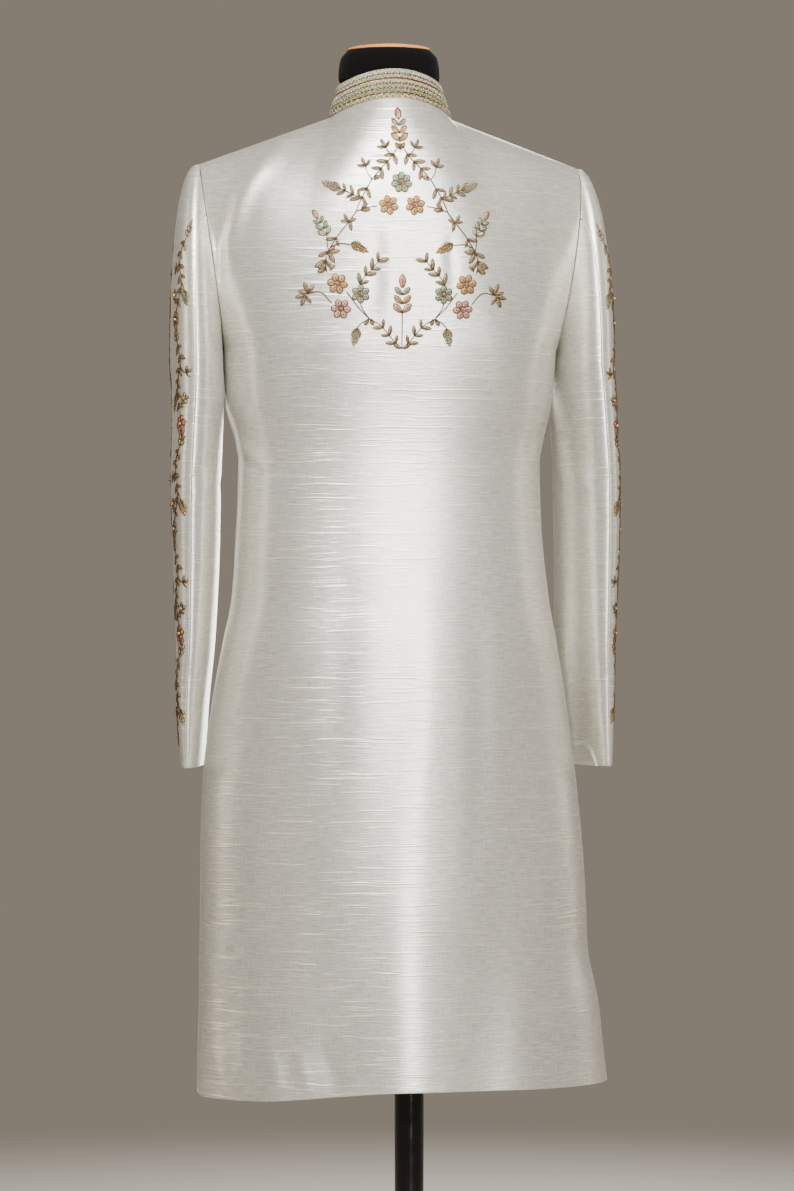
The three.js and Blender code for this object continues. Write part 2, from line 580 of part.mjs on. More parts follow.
function makePole() {
  const bottom = BASE.hubHeight + SEAM;
  const profile = [[0, bottom], [POLE.radius, bottom], [POLE.radius, POLE.topZ], [0, POLE.topZ]];
  return lathe("stand_pole", profile, 24, finish.enamel);
}

// ---- Assembly ----
const dressed = new THREE.Group();
dressed.position.set(FORM_OFFSET.x, FORM_OFFSET.y, 0);
dressed.add(makeForm(), makeCap(), makeBack(), makeFront("front_left", 1), makeFront("front_right", -1));
for (const [label, side] of [["left", 1], ["right", -1]]) {
  dressed.add(makeSleevePiece(`sleeve_top_${label}`, side, HIND_SEAM, FRONT_SEAM));
  dressed.add(makeSleevePiece(`sleeve_under_${label}`, side, FRONT_SEAM, 360 + HIND_SEAM));
}
dressed.add(makeCollar());
for (let i = 0; i < BUTTON.count; i++) dressed.add(makeButton(i));

const part = new THREE.Group();
part.add(makeBase(), makePole(), dressed);

export default part;
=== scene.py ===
"""An ivory raw-silk sherwani kurta on a limbless dress form and pole stand, in metres.

The cloth is worked out on grids with numpy. body() gives the outer face of the back and the fronts,
sleeve() that of the two-piece sleeves, and collar() that of the stand collar. Every other piece of
the coat, such as its embroidery, is laid on those faces.
"""

import bpy
import numpy as np
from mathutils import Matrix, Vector


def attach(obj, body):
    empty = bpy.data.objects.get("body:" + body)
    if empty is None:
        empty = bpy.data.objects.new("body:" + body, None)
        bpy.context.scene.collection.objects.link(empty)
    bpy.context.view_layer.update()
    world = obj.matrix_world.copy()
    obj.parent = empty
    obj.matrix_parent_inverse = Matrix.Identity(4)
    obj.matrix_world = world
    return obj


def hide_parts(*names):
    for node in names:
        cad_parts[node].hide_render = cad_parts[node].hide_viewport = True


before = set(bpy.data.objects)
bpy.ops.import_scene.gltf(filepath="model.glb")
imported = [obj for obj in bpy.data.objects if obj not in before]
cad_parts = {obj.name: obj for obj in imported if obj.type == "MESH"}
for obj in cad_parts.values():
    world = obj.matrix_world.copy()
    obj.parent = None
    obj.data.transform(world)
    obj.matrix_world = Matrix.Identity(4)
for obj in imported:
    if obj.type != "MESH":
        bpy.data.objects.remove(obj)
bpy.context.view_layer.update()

MM = 0.001
ROOT = "root"

# ---- Sizes, in millimetres, as in the part's own source ----
FORM_OFFSET = np.array([19.0, -25.0, 0.0])
CLOTH, SLEEVE_CLOTH = 2.0, 1.8
SEAM_SEEN = 0.12  # the pieces all but meet, and their rolled edges show the seam
HEM_Z, HEM_DROP, HEM_CORNER = 400.0, 11.0, 15.0
VENT_TOP_Z, VENT_HALF_GAP = 720.0, 2.5
UNDERARM_Z = 1203.0
SHOULDER_TIP = (209.0, 0.0, 1406.0)
NECK_SIDE = (66.0, 8.0, 1458.0)
NAPE, THROAT = (62.0, 1475.0), (-78.0, 1400.0)
SHOULDER_SHARE, YOKE_SHARE = 0.3, 0.3
PANEL_WIDTH, PANEL_HEIGHT, FRONT_WIDTH = 560.0, 1100.0, 300.0
COLLAR_TOP = {"x": 55.5, "y": 3.0, "side_z": 1494.0, "back": (54.0, 1507.5), "front": (-72.0, 1438.0)}
COLLAR_THICK, COLLAR_END_GAP, COLLAR_CORNER = 2.2, 1.5, 15.0
LAP, LAP_EASE, LAP_MARGIN, LAP_CLEAR = 18.0, 26.0, 8.0, 0.9
CUFF_Z, BICEPS_Z, CAP_SHARE, FRONT_SEAM = 747.0, 1185.0, 0.375, 205.0
SLEEVE_WIDTH, SLEEVE_LENGTH = 190.0, 660.0
SLEEVE_HEAD = {"out": 2.0, "swell": 27.0, "back": 14.0, "drop": 5.0, "rise": 9.0, "slack": 0.4}
EDGE_RADIUS, MOST_SUNK = 0.8, 0.7  # of a sewn or turned edge; the most it sinks, as a share of the cloth
CREASE_FADE, SLEEVE_FADE = (0.02, 0.03), 0.05  # shares of a piece over which small folds fade at its seams
NECK_SOFT, NECK_SOFT_FROM = 0.09, 0.25  # how far the corner at the neck is rounded, and from which share

BODY_COLUMNS = ("z", "half", "shift", "back", "front", "square")
BODY = np.array([
    (389, 227.5, -16, 127, 121, 2.1),
    (434, 224.5, -13.5, 125, 120, 2.1),
    (490, 220.5, -11, 123, 119, 2.12),
    (540, 215, -6, 121, 118, 2.14),
    (600, 213, -5, 120, 117, 2.16),
    (665, 210.5, -3, 118, 117, 2.2),
    (742, 205, -0.5, 117, 117, 2.2),
    (819, 195, -0.5, 115, 116, 2.25),
    (885, 183.5, -1, 111, 114, 2.3),
    (929, 175, -1.5, 105, 112, 2.3),
    (995, 169, 0, 97, 111, 2.35),
    (1045, 166.5, 0, 93, 112, 2.4),
    (1094, 167, 0, 93, 114, 2.45),
    (1140, 178.5, 0, 98, 119, 2.55),
    (1170, 181, 0, 103, 122, 2.65),
    (1203, 183, 0, 108, 125, 2.75),
])
YOKE_COLUMNS = ("share", "low_x", "low_y", "low_z", "high_x", "high_y", "high_z")
YOKE_BACK = np.array([
    (0, 187, 72, 1222, 214, 62, 1385),
    (0.08, 186, 66, 1236, 188, 86, 1394),
    (0.18, 166, 81, 1265, 140, 112, 1406),
    (0.3, 125, 101, 1280, 84, 120, 1412),
    (0.4, 76, 111, 1285, 50, 126, 1412),
    (0.5, 0, 116, 1287, 0, 124, 1411),
])
YOKE_FRONT = np.array([
    (0, 179, -68, 1216, 190, -70, 1378),
    (0.08, 176, -80, 1240, 160, -96, 1388),
    (0.18, 161, -101, 1262, 118, -116, 1392),
    (0.3, 124, -120, 1270, 76, -120, 1390),
    (0.4, 78, -129, 1270, 44, -116, 1370),
    (0.5, 0, -133, 1270, 0, -112, 1345),
])
FOLDS = [  # face, x, width, depth, z, reach: the large folds that the solids have too
    (1, -6, 46, 3.5, 440, 420),
    (1, 78, 52, -3.5, 430, 380),
    (1, -88, 50, -4, 430, 400),
    (1, 142, 18, 3, 390, 120),
    (1, 118, 30, 3, 600, 260),
    (1, -136, 34, 3, 560, 280),
    (-1, 96, 40, 3.5, 430, 340),
    (-1, -104, 44, 3.5, 450, 360),
]
# Small folds: width, depth (a ridge is positive) and the x, z places that each runs through
BACK_CREASES = [
    (15, 4.4, [(118, 1428), (156, 1386), (177, 1340), (183, 1292)]),
    (12, -3.4, [(178, 1352), (194, 1318), (192, 1270)]),
    (18, 1.6, [(-150, 1392), (-168, 1366), (-176, 1338)]),
    (10, -0.9, [(30, 1342), (28, 1290), (32, 1236)]),
    (12, 0.8, [(14, 1330), (13, 1270), (16, 1215)]),
    (9, -1.0, [(-54, 1322), (-52, 1296), (-55, 1262)]),
    (11, 0.7, [(-42, 1316), (-43, 1284), (-40, 1250)]),
    (11, 2.0, [(184, 396), (190, 418), (193, 446)]),
    (10, 1.9, [(158, 396), (164, 420), (170, 452)]),
    (11, 1.7, [(128, 396), (135, 418), (141, 446)]),
    (10, 1.2, [(98, 396), (105, 416), (111, 442)]),
    (12, -1.3, [(68, 396), (76, 420), (87, 452)]),
    (18, -2.0, [(186, 396), (184, 470), (178, 560)]),
    (40, -4.4, [(116, 800), (118, 620), (116, 430)]),
    (8, 2.0, [(174, 1104), (160, 1090), (142, 1074)]),
    (7, -1.6, [(172, 1090), (158, 1078), (144, 1064)]),
    (9, 1.6, [(-172, 1112), (-158, 1094), (-140, 1080)]),
    (26, 1.6, [(-96, 1240), (-120, 1180), (-150, 1130)]),
    (30, -1.4, [(90, 1230), (118, 1160), (150, 1120)]),
    (34, 1.2, [(-30, 960), (-26, 820), (-16, 640)]),
    (24, -1.2, [(60, 980), (70, 840), (76, 700)]),
    (24, -1.4, [(-84, 940), (-88, 800), (-84, 640)]),
    (50, -5.6, [(-134, 810), (-132, 610), (-134, 420)]),
]
FRONT_CREASES = [
    (14, 2.4, [(-112, 1420), (-150, 1376), (-168, 1320)]),
    (12, 2.2, [(110, 1424), (146, 1382), (170, 1316)]),
    (9, 1.8, [(168, 1100), (140, 1084), (112, 1076)]),
    (8, -1.6, [(170, 1086), (144, 1070), (118, 1062)]),
    (9, 1.8, [(-166, 1096), (-142, 1078), (-116, 1070)]),
    (8, 1.6, [(-150, 396), (-156, 420), (-160, 450)]),
    (8, 1.5, [(120, 396), (126, 418), (130, 446)]),
    (26, 1.6, [(70, 960), (84, 820), (92, 640)]),
    (24, -1.5, [(-66, 950), (-78, 800), (-84, 620)]),
    (10, -1.2, [(4, 930), (2, 900), (3, 860)]),
]
# The same on a sleeve, with degrees round it in place of x
SLEEVE_CREASES = [
    (12, -1.6, [(300, 1100), (330, 1072), (380, 1060)]),
    (9, 1.4, [(292, 1072), (322, 1050), (370, 1036)]),
    (10, -1.3, [(220, 1090), (246, 1062), (280, 1050)]),
    (12, 1.5, [(30, 1330), (44, 1280), (60, 1240)]),
    (12, 1.2, [(150, 1320), (140, 1276), (128, 1230)]),
    (9, -1.0, [(340, 860), (360, 842), (384, 836)]),
    (8, 1.0, [(160, 900), (180, 880), (200, 872)]),
]
SLEEVE_COLUMNS = ("z", "x", "lean", "y", "half", "deep", "turn", "square")
SLEEVE = np.array([
    (747, 219.5, 4.5, -12, 8.5, 66, 11, 6),
    (819, 218.5, 3, -8, 15, 70, 10.5, 4),
    (885, 216, 3, -3, 19.5, 75, 10, 3),
    (973, 216, 3.5, 0, 24, 78, 9.5, 2.6),
    (1061, 216, 3, 4, 26.5, 82, 8.5, 2.4),
    (1148, 213, 2, 5, 28, 84, 7, 2.2),
    (1185, 213, 0.5, 5, 29, 85, 5.5, 2.2),
])
FORM_COLUMNS = ("z", "half", "back", "front", "square")
FORM = np.array([
    (690, 146, 90, 92, 2.1),
    (742, 158, 96, 98, 2.15),
    (819, 170, 101, 103, 2.2),
    (885, 166, 98, 102, 2.25),
    (940, 159, 91, 100, 2.25),
    (995, 153, 84, 98, 2.3),
    (1060, 151, 80, 99, 2.3),
    (1140, 161, 87, 106, 2.35),
    (1203, 169, 95, 112, 2.4),
    (1270, 177, 95, 108, 2.3),
    (1330, 181, 88, 92, 2.2),
    (1370, 180, 72, 72, 2.1),
    (1388, 174, 58, 54, 2),
    (1405, 150, 48, 40, 2),
    (1418, 115, 44, 36, 2),
    (1431, 84, 44, 40, 2),
    (1444, 60, 46, 46, 2),
    (1460, 52, 47, 49, 2),
    (1494, 52.4, 47, 49.5, 2.1),
    (1500, 55.2, 47.3, 50.5, 2.1),
    (1508, 55.5, 48.2, 51.5, 2.1),
    (1517, 54.6, 49, 52, 2.1),
    (1525, 52.4, 48.5, 50.5, 2.1),
    (1532, 46, 43.5, 44.5, 2.1),
])
NECK_FROM_Z = 1450.0
WOOD_CAP = {"half": 46.5, "deep": 44.0, "bottom": 1532.3, "edge": 1.6, "rise": 4.8}
POLE = {"radius": 16.0, "bottom": 46.3, "top": 688.0}
BASE = {"radius": 175.0, "edge": 7.0, "height": 16.0, "hub_radius": 27.0, "hub_height": 46.0}
BUTTON = {"count": 7, "radius": 8.0, "height": 6.0, "rim": 2.8, "shank": 3.2, "clear": 0.5}
BUTTON_TOP_Z, BUTTON_BOTTOM_Z = 1380.0, 942.0


# ---- Small helpers ----
def mix(a, b, t):
    """a at t 0 and b at t 1."""
    return a + (b - a) * t


def ease(t):
    """A smooth step: 0 below 0, 1 above 1."""
    t = np.clip(t, 0, 1)
    return t * t * (3 - 2 * t)


def signed_power(a, power):
    """|a| to the power, with a's sign."""
    return np.sign(a) * np.abs(a) ** power


def read(table, columns, column, at):
    """A table's column at `at`: a cubic through its rows, whose slope at a row is its neighbours'."""
    key, value = table[:, 0], table[:, columns.index(column)]
    at = np.clip(at, key[0], key[-1])
    i = np.clip(np.searchsorted(key, at, side="right") - 1, 0, len(key) - 2)
    rows = np.arange(len(key))
    before, after = np.maximum(rows - 1, 0), np.minimum(rows + 1, len(key) - 1)
    slope = (value[after] - value[before]) / (key[after] - key[before])
    span = key[i + 1] - key[i]
    t = (at - key[i]) / span
    bend = t * t * (3 - 2 * t)
    return mix(value[i], value[i + 1], bend) + span * t * (1 - t) * ((1 - t) * slope[i] - t * slope[i + 1])


def bezier(a, b, c, d, t):
    """A cubic Bezier through four arrays of points, at t."""
    t = np.asarray(t)[..., None]
    s = 1 - t
    return s**3 * a + 3 * s * s * t * b + 3 * s * t * t * c + t**3 * d


def stack(*parts):
    """x, y and z arrays, spread to one shape, as points."""
    return np.stack(np.broadcast_arrays(*parts), axis=-1).astype(float)


# ---- The coat's surfaces ----
def neckline(angle, face):
    """The seam of the collar: half an ellipse round the nape (face 1) or the throat (face -1)."""
    end_y, end_z = NAPE if face > 0 else THROAT
    s = np.sin(angle)
    return stack(NECK_SIDE[0] * np.cos(angle), mix(NECK_SIDE[1], end_y, s), mix(NECK_SIDE[2], end_z, s * s))


def top_edge(u, face):
    """A shoulder seam, half the neckline and the other shoulder seam, as u goes from 0 to 1."""
    near, side = np.minimum(u, 1 - u), np.where(u <= 0.5, 1.0, -1.0)
    t = np.clip(near / SHOULDER_SHARE, 0, 1)
    gap = face * SEAM_SEEN / 2
    seam = stack(
        side * mix(SHOULDER_TIP[0], NECK_SIDE[0], t),
        mix(SHOULDER_TIP[1], NECK_SIDE[1], t) + gap,
        mix(SHOULDER_TIP[2], NECK_SIDE[2], t),
    )
    neck = neckline(np.clip((u - SHOULDER_SHARE) / (1 - 2 * SHOULDER_SHARE), 0, 1) * np.pi, face)
    neck[..., 1] += gap
    return np.where((near < SHOULDER_SHARE)[..., None], seam, neck)


def smooth_path(points, step=2.0):
    """A Catmull-Rom curve through x, z points, at even steps of about `step`."""
    p = np.array(points, float)
    ends = np.concatenate([2 * p[:1] - p[1:2], p, 2 * p[-1:] - p[-2:-1]])
    t = np.linspace(0, 1, 24, endpoint=False)[:, None]
    parts = [
        0.5 * (2 * b + (c - a) * t + (2 * a - 5 * b + 4 * c - d) * t**2 + (3 * b - a - 3 * c + d) * t**3)
        for a, b, c, d in zip(ends[:-3], ends[1:-2], ends[2:-1], ends[3:])
    ]
    path = np.concatenate(parts + [p[-1:]])
    run = np.concatenate([[0], np.cumsum(np.linalg.norm(np.diff(path, axis=0), axis=1))])
    even = np.linspace(0, run[-1], max(int(run[-1] / step), 3))
    return np.stack([np.interp(even, run, path[:, k]) for k in (0, 1)], axis=1)


def crease_lift(a, b, creases):
    """The lift of small folds at a, b: a bell curve of the distance to each path, low at both its ends."""
    lift = np.zeros(np.broadcast(a, b).shape)
    for width, depth, places in creases:
        path = smooth_path(places, 6.0)
        near = np.full(lift.shape, np.inf)
        share = np.zeros(lift.shape)
        for k, (x, z) in enumerate(path):
            distance = (a - x) ** 2 + (b - z) ** 2
            closer = distance < near
            near, share = np.where(closer, distance, near), np.where(closer, k / (len(path) - 1), share)
        lift += depth * np.exp(-2 * near / width**2) * np.sin(np.pi * mix(0.08, 0.92, share))
    return lift


def soft_top_edge(u, face):
    """The top edge with its corner at the neck rounded off: the mean of seven places along it."""
    reach_u = NECK_SOFT * ease(np.minimum(u, 1 - u) / NECK_SOFT_FROM)
    return sum(top_edge(np.clip(u + reach_u * k, 0, 1), face) for k in np.linspace(-1, 1, 7)) / 7


def fold_lift(x, z, face):
    """The large folds: bell curves across, each fading away up and down from where it is deepest."""
    lift = np.zeros(np.broadcast(x, z).shape)
    for fold_face, fold_x, width, depth, fold_z, reach_z in FOLDS:
        if fold_face == face:
            across = np.exp(-2 * ((x - fold_x) / width) ** 2)
            lift += depth * across * (1 - ease(np.abs((z - fold_z) / reach_z)))
    return lift


def body(u, v, face, creases=()):
    """The outer face of a body panel: u from the left side seam to the right, v from hem to top edge.

    Below the underarm it runs through level sections, |x/half|^square + |y/depth|^square = 1, from a
    hem whose left corner is rounded. Above it each column is a cubic curve to the top edge. The small
    folds of `creases` are laid over both.
    """
    u, v = np.broadcast_arrays(np.asarray(u, float), np.asarray(v, float))
    yoke_from = 1 - YOKE_SHARE
    depth_column = "back" if face > 0 else "front"
    low_v = np.minimum(v / yoke_from, 1)
    in_corner = np.clip(1 - u * PANEL_WIDTH / HEM_CORNER, 0, 1)
    round_off = HEM_CORNER * (1 - np.sqrt(1 - in_corner**2))
    drop = HEM_DROP * ease(1.2 * np.maximum(np.cos(np.pi * u), 0))
    z = mix(HEM_Z + round_off - drop, UNDERARM_Z, low_v)
    square = read(BODY, BODY_COLUMNS, "square", z)
    depth = read(BODY, BODY_COLUMNS, depth_column, z)
    half_gap = SEAM_SEEN / 2 + VENT_HALF_GAP * np.clip((VENT_TOP_Z - z) / (VENT_TOP_Z - HEM_Z), 0, 1)
    edge = np.arcsin((half_gap / depth) ** (square / 2))
    angle = mix(edge, np.pi - edge, u)
    x = read(BODY, BODY_COLUMNS, "shift", z) + read(BODY, BODY_COLUMNS, "half", z) * signed_power(
        np.cos(angle), 2 / square
    )
    y = face * (depth * np.sin(angle) ** (2 / square) + fold_lift(x, z, face) * np.sin(np.pi * u))
    points = stack(x, y, z)
    table = YOKE_BACK if face > 0 else YOKE_FRONT
    near, side = np.minimum(u, 1 - u), np.where(u <= 0.5, 1.0, -1.0)
    handles = []
    for end in ("low", "high"):
        x, y, z = (read(table, YOKE_COLUMNS, f"{end}_{axis}", near) for axis in "xyz")
        handles.append(stack(side * x, y, z))
    t = np.clip((v - yoke_from) / YOKE_SHARE, 0, 1)
    soft = soft_top_edge(u, face)
    points = bezier(points, *handles, soft, t) + (top_edge(u, face) - soft) * t[..., None] ** 9
    if creases:
        # they fade out at the seams, where the neighbouring piece has none
        fade = ease(np.minimum(u, 1 - u) / CREASE_FADE[0]) * ease((1 - v) / CREASE_FADE[1])
        lift = fade * crease_lift(points[..., 0], points[..., 2], creases)
        points = points + lift[..., None] * outward(lambda a, b: body(a, b, face), u, v, (0.0, 0.0, 1200.0))
    return points


def back_face(u, v):
    """The back's outer face with its small folds."""
    return body(u, v, 1, BACK_CREASES)


def outward(surface, u, v, middle):
    """The unit normals of surface(u, v), turned away from middle, a point or points inside it."""
    step = 1e-3
    a, b = np.clip(u - step, 0, 1), np.clip(u + step, 0, 1)
    c, d = np.clip(v - step, 0, 1), np.clip(v + step, 0, 1)
    normal = np.cross(surface(b, v) - surface(a, v), surface(u, d) - surface(u, c))
    normal /= np.maximum(np.linalg.norm(normal, axis=-1, keepdims=True), 1e-12)
    away = np.sum(normal * (surface(u, v) - np.asarray(middle)), axis=-1, keepdims=True)
    return normal * np.where(away < 0, -1.0, 1.0)


def armhole(degrees):
    """The armhole seam on the left side: under the arm at -90 degrees, behind, on top at 90, in front."""
    behind = degrees <= 90
    share = np.where(behind, (np.clip(degrees + 90, 0, 180) / 180) ** 0.6, 1 - (degrees - 90) / 180)
    v = mix(1 - YOKE_SHARE, 1, share)
    return np.where(behind[..., None], body(0 * v, v, 1), body(0 * v, v, -1))


def sleeve(side, degrees, t):
    """The outer face of a sleeve, t from the armhole to the cuff.

    Below the biceps its level sections are flat ovals with squared ends, turned a little. Above, each
    lengthwise line is a cubic curve that leaves the armhole outwards and comes down on the biceps line.
    """
    degrees, t = np.broadcast_arrays(np.asarray(degrees, float), np.asarray(t, float))
    s, c = np.sin(np.radians(degrees)), np.cos(np.radians(degrees))

    def ring(z):
        get = {name: read(SLEEVE, SLEEVE_COLUMNS, name, z) for name in SLEEVE_COLUMNS[1:]}
        turn = np.radians(get["turn"])
        across, back = get["half"] * s, get["deep"] * signed_power(c, 2 / get["square"])
        x = get["x"] - side * get["lean"] + across * np.cos(turn) + back * np.sin(turn)
        return stack(side * x, get["y"] + back * np.cos(turn) - across * np.sin(turn), z)

    tube = ring(mix(BICEPS_Z, CUFF_Z, np.clip((t - CAP_SHARE) / (1 - CAP_SHARE), 0, 1)))
    seam = armhole(degrees)
    biceps = ring(np.full_like(t, BICEPS_Z))
    lift = (s + 1) / 2
    start = stack(side * (seam[..., 0] + SEAM_SEEN), seam[..., 1], seam[..., 2])
    head = SLEEVE_HEAD
    out = start + stack(
        side * (head["out"] + head["swell"] * lift), head["back"] * c, head["rise"] * lift - head["drop"]
    )
    up = biceps + stack(0 * s, 0 * s, head["slack"] * np.maximum(seam[..., 2] - BICEPS_Z, 0))
    cap = bezier(start, out, up, biceps, np.clip(t / CAP_SHARE, 0, 1))
    return np.where((t > CAP_SHARE)[..., None], tube, cap)


def collar(turn, v):
    """The collar's outer face: straight lines from the neckline up to a smaller oval, with round ends.

    turn is 0 degrees at the throat, 90 at the left and 180 at the nape.
    """
    turn, v = np.broadcast_arrays(np.asarray(turn, float), np.asarray(v, float))
    s, c = np.sin(np.radians(turn)), -np.cos(np.radians(turn))
    behind = (c >= 0)[..., None]
    angle = np.arctan2(np.abs(c), s)
    foot = np.where(behind, neckline(angle, 1), neckline(angle, -1))
    tops = [
        stack(
            COLLAR_TOP["x"] * s,
            mix(COLLAR_TOP["y"], COLLAR_TOP[end][0], np.abs(c)),
            mix(COLLAR_TOP["side_z"], COLLAR_TOP[end][1], c * c),
        )
        for end in ("back", "front")
    ]
    top = np.where(behind, *tops)
    height = np.linalg.norm(top - foot, axis=-1)
    to_end = np.maximum(np.abs(foot[..., 0]) - COLLAR_END_GAP, 0)
    in_corner = np.where(c < 0, np.clip(1 - to_end / COLLAR_CORNER, 0, 1), 0)
    cut = COLLAR_CORNER * (1 - np.sqrt(1 - in_corner**2)) / height
    t = mix(SEAM_SEEN / height, 1 - cut, v)
    return foot + (top - foot) * t[..., None]


# ---- Meshes ----
def make_mesh(name, points, faces, uv=None, offset=FORM_OFFSET):
    """A smooth mesh of points in millimetres, moved by offset, with faces as rows of point numbers."""
    mesh = bpy.data.meshes.new(name)
    corners = faces.shape[1]
    mesh.vertices.add(len(points))
    mesh.vertices.foreach_set("co", ((points + offset) * MM).ravel())
    mesh.loops.add(faces.size)
    mesh.loops.foreach_set("vertex_index", faces.ravel().astype(np.int32))
    mesh.polygons.add(len(faces))
    mesh.polygons.foreach_set("loop_start", np.arange(0, faces.size, corners, dtype=np.int32))
    mesh.polygons.foreach_set("use_smooth", np.ones(len(faces), dtype=bool))
    if uv is not None:
        layer = mesh.uv_layers.new(name="cloth")
        layer.data.foreach_set("uv", uv[faces.ravel()].ravel().astype(np.float32))
    mesh.update(calc_edges=True)
    piece = bpy.data.objects.new(name, mesh)
    bpy.context.scene.collection.objects.link(piece)
    return piece


def grid_faces(rows, columns, first=0):
    """Quads over a grid of points that are numbered row by row."""
    j, i = np.meshgrid(np.arange(rows - 1), np.arange(columns - 1), indexing="ij")
    a = (first + j * columns + i).ravel()
    return np.stack([a, a + 1, a + columns + 1, a + columns], axis=1)


def edge_lines(count, length):
    """Even places from 0 to 1, with closer ones near both ends, where a cloth edge is rolled."""
    near = np.array([0, 0.25, 0.6, 1.1, 1.8, 3.0]) / length
    return np.concatenate([near, np.linspace(6 / length, 1 - 6 / length, count), 1 - near[::-1]])


def rolled(distance):
    """How far a turned-in edge sinks, as a quarter circle, at a distance from the edge."""
    t = np.clip(1 - distance / EDGE_RADIUS, 0, 1)
    return EDGE_RADIUS * (1 - np.sqrt(1 - t * t))


def cloth_wall(name, surface, u_lines, v_lines, thickness, middle):
    """A closed wall of cloth: the outer face, the same grid moved in by its thickness, and its edges.

    The outer face sinks in a quarter circle at its edges, as a sewn or turned edge does. The piece's
    UV map is in metres: along the weft from the piece's middle, and the height.
    """
    u, v = np.meshgrid(u_lines, v_lines)
    face = surface(u, v)
    normal = outward(surface, u, v, middle(face))
    run = np.linalg.norm(np.diff(face, axis=1), axis=-1)
    run = np.concatenate([np.zeros((len(v_lines), 1)), np.cumsum(run, axis=1)], axis=1)
    climb = np.linalg.norm(np.diff(face, axis=0), axis=-1)
    climb = np.concatenate([np.zeros((1, len(u_lines))), np.cumsum(climb, axis=0)], axis=0)
    sink = rolled(np.minimum(run, run[:, -1:] - run)) + rolled(np.minimum(climb, climb[-1:] - climb))
    outer = face - np.minimum(sink, thickness * MOST_SUNK)[..., None] * normal
    inner = face - thickness * normal
    rows, columns = u.shape
    count = rows * columns
    index = np.arange(count).reshape(rows, columns)
    rim = np.concatenate([index[0], index[1:, -1], index[-1, -2::-1], index[-2:0:-1, 0]])
    following = np.roll(rim, -1)
    faces = np.concatenate([
        grid_faces(rows, columns),
        grid_faces(rows, columns, count)[:, ::-1],
        np.stack([following, rim, rim + count, following + count], axis=1),
    ])
    points = np.concatenate([outer.reshape(-1, 3), inner.reshape(-1, 3)])
    start = run[:, columns // 2 : columns // 2 + 1]
    uv = np.stack([(run - start) * MM, face[..., 2] * MM], axis=-1).reshape(-1, 2)
    return make_mesh(name, points, facing_out(points, faces), np.concatenate([uv, uv]))


def facing_out(points, faces):
    """The triangles or quads of a closed mesh, turned over if they face inwards.

    Six times the volume inside is the sum of a x b . c + a x c . d over their corners.
    """
    a, b, c, d = (points[faces[:, k]] for k in (0, 1, 2, -1))
    volume = np.sum(np.cross(a, b) * c) + np.sum(np.cross(a, c) * d)
    return faces[:, ::-1] if volume < 0 else faces


def finish_piece(piece, material, replaced=()):
    """Gives a piece its material and its body, and hides the solids that it stands for."""
    piece.data.materials.clear()
    piece.data.materials.append(material)
    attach(piece, ROOT)
    if replaced:
        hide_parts(*replaced)
    return piece


# ---- Materials ----
def colour(hex_code):
    """An sRGB hex colour as linear RGBA."""
    srgb = np.array([int(hex_code[i : i + 2], 16) for i in (1, 3, 5)]) / 255
    linear = np.where(srgb <= 0.04045, srgb / 12.92, ((srgb + 0.055) / 1.055) ** 2.4)
    return (*linear.tolist(), 1.0)


def add(tree, kind, inputs=(), **settings):
    """Adds a node. inputs maps its sockets to values or to other nodes' outputs."""
    node = tree.nodes.new(kind)
    for name, value in settings.items():
        setattr(node, name, value)
    for key, value in dict(inputs).items():
        if isinstance(value, bpy.types.NodeSocket):
            tree.links.new(value, node.inputs[key])
        else:
            node.inputs[key].default_value = value
    return node


def new_material(name):
    """An empty node material and its output node."""
    material = bpy.data.materials.new(name)
    material.use_nodes = True
    material.node_tree.nodes.clear()
    return material, material.node_tree


def close_material(material, tree, shader):
    """Joins the shader to a new output node."""
    add(tree, "ShaderNodeOutputMaterial", {"Surface": shader.outputs[0]})
    return material


# Slubs in the weft: the pitch of their rows and their length in mm, the noise levels between which they
# swell, and their strength. Real ones are 0.5 to 1.5 mm thick. These are at the coarse end, so they show.
SLUBS = [(1.3, 55, 0.55, 0.67, 1.1), (2.2, 95, 0.61, 0.69, 1.6)]
SLUB_WANDER = 6.0  # mm that a row strays from level
ROW_SHIFT = (7.31, 3.17, 0)  # moves each row to its own stretch of the noise
NEP_SPACING = 30.0


